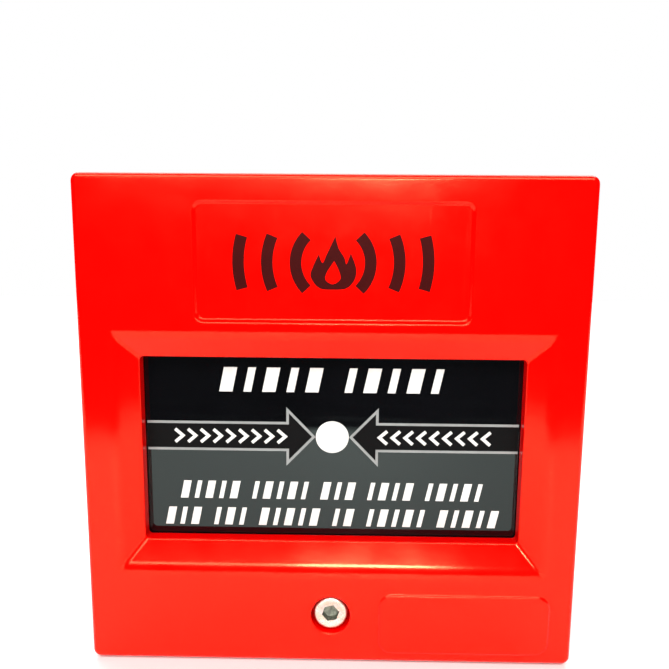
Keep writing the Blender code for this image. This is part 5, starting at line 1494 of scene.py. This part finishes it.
class CALLPOINT_OT_springs(bpy.types.Operator):
    """Coils the pane's four springs and the plunger's spring."""

    bl_idname = "callpoint.springs"
    bl_label = "Springs"

    def execute(self, context):
        steel = finish_named("spring")
        nodes = [f"glass_spring_{corner}" for corner in CORNERS]
        low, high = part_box(nodes[0])
        rest = high.y - low.y
        wire = 0.25 * MM
        points = []
        for node in nodes:
            middle = middle_of(node)
            points.append((middle.x, high.y - wire, middle.z))
        values = {
            "Radius": 1.86 * MM,
            "Wire": wire,
            "Turns": 6.5,
            "Length": rest - 2 * wire,
            "Turn": FACING_FRONT,
            "Finish": steel,
        }
        made = run_tree("pane_springs", points, shared_tree("coil", coil_tree), values)
        made.data.shade_smooth()
        finish_piece(made, steel, "cover", nodes)
        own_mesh(made)

        low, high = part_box("plunger_spring")
        rest = high.y - low.y
        wire = 0.2 * MM
        middle = middle_of("plunger_spring")
        values = {
            "Radius": 2.88 * MM,
            "Wire": wire,
            "Turns": 3.0,
            "Length": rest - 2 * wire,
            "Turn": FACING_FRONT,
            "Finish": steel,
        }
        point = (0, high.y - wire, (PLUNGER_LOW.z + PLUNGER_HIGH.z) / 2)
        made = run_tree("return_spring", [point], shared_tree("coil", coil_tree), values)
        made.data.shade_smooth()
        finish_piece(made, steel, "back_box", ["plunger_spring"])
        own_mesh(made)
        return {"FINISHED"}


# ---------------------------------------------------------------- chassis, plunger and switch


class CALLPOINT_OT_chassis(bpy.types.Operator):
    """Moulds the chassis plate and the bridge over the switch."""

    bl_idname = "callpoint.chassis"
    bl_label = "Chassis"

    def execute(self, context):
        plate = refined("chassis_plate", "chassis", 0.2 * MM)
        finish_piece(plate, finish_named("white"), "back_box", ["chassis_plate"])
        bridge = refined("plunger_bridge", "bridge", 0.2 * MM)
        finish_piece(bridge, finish_named("black"), "back_box", ["plunger_bridge"])
        return {"FINISHED"}


class CALLPOINT_OT_plunger(bpy.types.Operator):
    """Turns the plunger that the pane presses."""

    bl_idname = "callpoint.plunger"
    bl_label = "Plunger"

    def execute(self, context):
        long = PLUNGER_HIGH.y - PLUNGER_LOW.y
        head = (PLUNGER_HIGH.x - PLUNGER_LOW.x) / 2
        stem, flange, tip = 2.0 * MM, 2.8 * MM, 1.0 * MM
        step = 0.6 * MM
        path = [
            (0, long),
            (head, long),
            (head, long - 1.5 * MM),
            (stem, long - 1.5 * MM),
            (stem, 2 * step),
            (flange, 2 * step),
            (flange, step),
            (tip, step),
            (tip, 0),
            (0, 0),
        ]
        radii = (0.4, 0.3, 0.3, 0.1, 0.15, 0.15, 0.15, 0.4)
        path = rounded_path(path, [radius * MM for radius in radii], 4)
        place = (0, PLUNGER_HIGH.y, (PLUNGER_LOW.z + PLUNGER_HIGH.z) / 2)
        plunger = smooth(turned("press_plunger", path, place))
        finish_piece(plunger, finish_named("white"), "plunger", ["plunger"])
        return {"FINISHED"}


class CALLPOINT_OT_switch(bpy.types.Operator):
    """Makes the switch: case, lever, pivot pin, button and tabs."""

    bl_idname = "callpoint.switch"
    bl_label = "Switch"

    def execute(self, context):
        case = refined("switch_case", "switch_body", 0.15 * MM)
        finish_piece(case, finish_named("switch"), "back_box", ["switch_case"])
        lever = refined("switch_lever", "lever_blade", 0.06 * MM, segments=2)
        finish_piece(lever, finish_named("steel"), "lever", ["switch_lever"])

        low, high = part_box("switch_lever_pin")
        radius, tall = (high.x - low.x) / 2, high.z - low.z
        profile = [(0, tall), (radius - 0.12 * MM, tall), (radius, tall - 0.15 * MM), (radius, 0.15 * MM)]
        profile += [(radius - 0.12 * MM, 0), (0, 0)]
        place = ((low.x + high.x) / 2, (low.y + high.y) / 2, low.z)
        pin = smooth(turned("lever_axle", profile, place, FACING_UP, 32))
        finish_piece(pin, finish_named("steel"), "back_box", ["switch_lever_pin"])

        low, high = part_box("switch_button")
        radius, tall = (high.x - low.x) / 2, high.y - low.y
        profile = [(0, tall)]
        for i in range(7):
            angle = math.radians(15 * i)
            height = tall - 0.5 * MM * (1 - math.cos(angle))
            profile.append((0.4 * radius + 0.6 * radius * math.sin(angle), height))
        profile += [(radius, 0.1 * MM), (radius - 0.1 * MM, 0), (0, 0)]
        middle = middle_of("switch_button")
        button = smooth(turned("press_button", profile, (middle.x, high.y, middle.z), steps=32))
        finish_piece(button, finish_named("button"), "button", ["switch_button"])

        for label in ("common", "normally_open", "normally_closed"):
            tab = refined(f"switch_tab_{label}", f"blade_{label}", 0.07 * MM, segments=2)
            finish_piece(tab, finish_named("brass"), "back_box", [f"switch_tab_{label}"])
        return {"FINISHED"}


# ---------------------------------------------------------------- the board


class CALLPOINT_OT_board(bpy.types.Operator):
    """Makes the circuit board, its terminal block and the solder on it."""

    bl_idname = "callpoint.board"
    bl_label = "Circuit board"

    def execute(self, context):
        board = refined("circuit_board", "board", 0.08 * MM, segments=2)
        finish_piece(board, finish_named("board"), "back_box", ["circuit_board"])
        block = refined("terminal_block", "terminals", 0.18 * MM)
        finish_piece(block, finish_named("green"), "back_box", ["terminal_block"])
        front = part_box("circuit_board")[0].y
        profile = [(0, 0.55 * MM), (0.34 * MM, 0.5 * MM), (0.42 * MM, 0.28 * MM), (0.62 * MM, 0.08 * MM)]
        profile += [(0.85 * MM, 0.01 * MM), (0, 0.01 * MM)]
        built = bmesh.new()
        lathe(built, profile, 20)
        points = []
        for node in ("alarm_resistor", "end_of_line_resistor"):
            low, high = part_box(node)
            z = (low.z + high.z) / 2
            points += [(low.x + 0.3 * MM, front, z), (high.x - 0.3 * MM, front, z)]
        solder = finish_named("solder")
        fillets = repeated("solder_fillets", new_piece("fillet", built), points, FACING_FRONT, solder)
        finish_piece(fillets, solder, "back_box")
        return {"FINISHED"}


class CALLPOINT_OT_resistors(bpy.types.Operator):
    """Makes the two resistors with their colour bands and bent wires."""

    bl_idname = "callpoint.resistors"
    bl_label = "Resistors"

    def execute(self, context):
        coat = tuple(context.scene.call_point_finishes.resistor)
        brown, black, red = (0.10, 0.03, 0.012), (0.01, 0.01, 0.01), (0.45, 0.015, 0.01)
        gold, yellow, violet = (0.55, 0.36, 0.10), (0.75, 0.50, 0.02), (0.16, 0.03, 0.28)
        kinds = (
            ("alarm_resistor", "alarm_load", (yellow, violet, brown, gold)),
            ("end_of_line_resistor", "line_load", (brown, black, red, gold)),
        )
        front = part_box("circuit_board")[0].y
        for node, name, shades in kinds:
            low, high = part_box(node)
            radius = (high.z - low.z) / 2
            half = 3.15 * MM
            waist = 0.86 * radius
            profile = [(0, half), (0.45 * radius, half), (0.85 * radius, half - 0.12 * MM)]
            profile += [(radius, half - 0.45 * MM), (radius, half - 1.2 * MM), (waist, half - 1.7 * MM)]
            profile += [(r, -height) for r, height in profile[::-1]]
            middle_y = front - 0.6 * MM - radius
            z = (low.z + high.z) / 2
            body = turned(name, profile, (0, middle_y, z), ALONG_X, 40)
            bands = list(zip((0.22, 0.42, 0.56, 0.78), shades))
            finish = banded_coat(f"{name}_coat", coat, bands, 0.0, half)
            finish_piece(smooth(body, 50.0), finish, "back_box", [node])
            legs = []
            reach = high.x - 0.3 * MM
            for side in (-1, 1):
                path = [(side * (half - 0.2 * MM), 0), (side * reach, 0)]
                path.append((side * reach, 0.6 * MM + radius + 0.2 * MM))
                bent = rounded_path(path, (0.8 * MM,), 8)
                points = [(x, middle_y + y, z) for x, y in bent]
                legs.append(tube(f"{name}_wire", points, 0.3 * MM))
            built = bmesh.new()
            for leg in legs:
                built.from_mesh(leg.data)
                bpy.data.objects.remove(leg, do_unlink=True)
            wires = new_piece(f"{name}_wires", built)
            wires.data.shade_smooth()
            finish_piece(wires, finish_named("solder"), "back_box")
        return {"FINISHED"}


class CALLPOINT_OT_leads(bpy.types.Operator):
    """Routes the two leads from the switch to the board."""

    bl_idname = "callpoint.leads"
    bl_label = "Leads"

    def execute(self, context):
        for node, name, finish, slot in (
            ("switch_lead_common", "lead_common", "wire_black", "lead_black"),
            ("switch_lead_closed", "lead_closed", "wire_red", "lead_red"),
        ):
            lead = new_piece(name, whole_faced(node))
            rounder = lead.modifiers.new("round", "SUBSURF")
            rounder.levels = 2
            rounder.render_levels = 2
            lead = settle(lead)
            lead.data.shade_smooth()
            finish_piece(lead, finish_named(finish), "back_box", [node])
        return {"FINISHED"}


# ---------------------------------------------------------------- stage


def aim(item, target):
    """Points a light at a place."""
    item.rotation_euler = (Vector(target) - item.location).to_track_quat("-Z", "Y").to_euler()


def area_light(name, place, target, width, height, watts):
    """A soft white rectangle of light."""
    light = bpy.data.lights.new(name, "AREA")
    light.shape = "RECTANGLE"
    light.size = width
    light.size_y = height
    light.energy = watts
    item = bpy.data.objects.new(name, light)
    item.location = place
    bpy.context.scene.collection.objects.link(item)
    aim(item, target)


class CALLPOINT_OT_stage(bpy.types.Operator):
    """Lays the pale floor and sets the soft lights and the camera."""

    bl_idname = "callpoint.stage"
    bl_label = "Stage"

    def execute(self, context):
        scene = context.scene
        built = bmesh.new()
        floor_z = COVER_LOW.z - 0.5 * MM
        corners = [(-0.6, -0.191), (0.6, -0.191), (0.6, 0.6), (-0.6, 0.6)]
        built.faces.new([built.verts.new((x, y, floor_z)) for x, y in corners])
        bmesh.ops.recalc_face_normals(built, faces=built.faces)
        if built.faces[:][0].normal.z < 0:
            bmesh.ops.reverse_faces(built, faces=built.faces)
        floor = new_piece("floor", built, pale_floor())

        world = bpy.data.worlds.new("studio")
        world.use_nodes = True
        scene.world = world
        tree = world.node_tree
        backdrop = tree.nodes["Background"]
        backdrop.inputs["Color"].default_value = (1.0, 1.0, 1.0, 1.0)
        backdrop.inputs["Strength"].default_value = 1.0
        dim = tree.nodes.new("ShaderNodeBackground")
        dim.inputs["Color"].default_value = (1.0, 1.0, 1.0, 1.0)
        dim.inputs["Strength"].default_value = 0.04
        ray = tree.nodes.new("ShaderNodeLightPath")
        mix = tree.nodes.new("ShaderNodeMixShader")
        tree.links.new(ray.outputs["Is Camera Ray"], mix.inputs["Fac"])
        tree.links.new(dim.outputs["Background"], mix.inputs[1])
        tree.links.new(backdrop.outputs["Background"], mix.inputs[2])
        tree.links.new(mix.outputs["Shader"], tree.nodes["World Output"].inputs["Surface"])

        target = (0.0, -0.03, 0.0)
        area_light("key", (-0.05, -0.6, 0.55), target, 1.0, 0.4, 9.0)
        area_light("sweep", (0.0, 0.45, 0.8), (0.0, 0.3, -0.05), 1.3, 0.8, 16.0)
        area_light("window", (-0.075, -0.8, 0.15), target, 0.43, 0.08, 1.0)
        area_light("window_core", (0.03, -0.79, 0.158), target, 0.16, 0.08, 2.2)
        spot = bpy.data.lights.new("floor_left", "SPOT")
        spot.energy = 0.8
        spot.spot_size = math.radians(40)
        spot.spot_blend = 1.0
        spot.shadow_soft_size = 0.03
        floor_left = bpy.data.objects.new("floor_left", spot)
        floor_left.location = (-0.16, -0.16, 0.30)
        scene.collection.objects.link(floor_left)
        aim(floor_left, (-0.10, -0.13, floor_z))

        view = bpy.data.cameras.new("view")
        view.sensor_width = 36.0
        view.lens = 38.0
        camera = bpy.data.objects.new("view", view)
        camera.location = (0.0024, -0.1712, 0.0389)
        turn = Matrix.Rotation(math.radians(0.92), 3, "Z") @ Matrix.Rotation(math.radians(80.8), 3, "X")
        camera.rotation_euler = (turn @ Matrix.Rotation(math.radians(0.45), 3, "Z")).to_euler()
        scene.collection.objects.link(camera)
        scene.camera = camera
        scene.view_settings.view_transform = "Standard"
        return {"FINISHED"}


OPERATORS = (
    CALLPOINT_OT_cover,
    CALLPOINT_OT_back_box,
    CALLPOINT_OT_pane,
    CALLPOINT_OT_print,
    CALLPOINT_OT_sign,
    CALLPOINT_OT_captive_screw,
    CALLPOINT_OT_hinge_pins,
    CALLPOINT_OT_retainer,
    CALLPOINT_OT_springs,
    CALLPOINT_OT_chassis,
    CALLPOINT_OT_plunger,
    CALLPOINT_OT_switch,
    CALLPOINT_OT_board,
    CALLPOINT_OT_resistors,
    CALLPOINT_OT_leads,
    CALLPOINT_OT_screws,
    CALLPOINT_OT_stage,
)


class CALLPOINT_PT_panel(bpy.types.Panel):
    """Lists every step of the call point."""

    bl_idname = "CALLPOINT_PT_panel"
    bl_label = "Manual call point"
    bl_space_type = "VIEW_3D"
    bl_region_type = "UI"
    bl_category = "Call point"

    def draw(self, context):
        for step in OPERATORS:
            self.layout.operator(step.bl_idname)
        for group in ("call_point_cover", "call_point_print", "call_point_finishes"):
            sizes = getattr(context.scene, group)
            box = self.layout.box()
            for key in sizes.__annotations__:
                box.prop(sizes, key)


SETTINGS = (
    ("call_point_cover", CoverSizes),
    ("call_point_print", PrintSizes),
    ("call_point_finishes", Finishes),
)


def register():
    """Adds the settings, the steps and the panel."""
    for kind in (CoverSizes, PrintSizes, Finishes, *OPERATORS, CALLPOINT_PT_panel):
        bpy.utils.register_class(kind)
    for name, kind in SETTINGS:
        setattr(bpy.types.Scene, name, bpy.props.PointerProperty(type=kind))


def unregister():
    """Takes the settings, the steps and the panel away again."""
    for name, kind in SETTINGS:
        delattr(bpy.types.Scene, name)
    for kind in (CALLPOINT_PT_panel, *reversed(OPERATORS), Finishes, PrintSizes, CoverSizes):
        bpy.utils.unregister_class(kind)


def main():
    """Runs every step in turn."""
    register()
    for step in OPERATORS:
        group, name = step.bl_idname.split(".")
        getattr(getattr(bpy.ops, group), name)()
    bpy.context.view_layer.update()


if __name__ == "__main__":
    main()
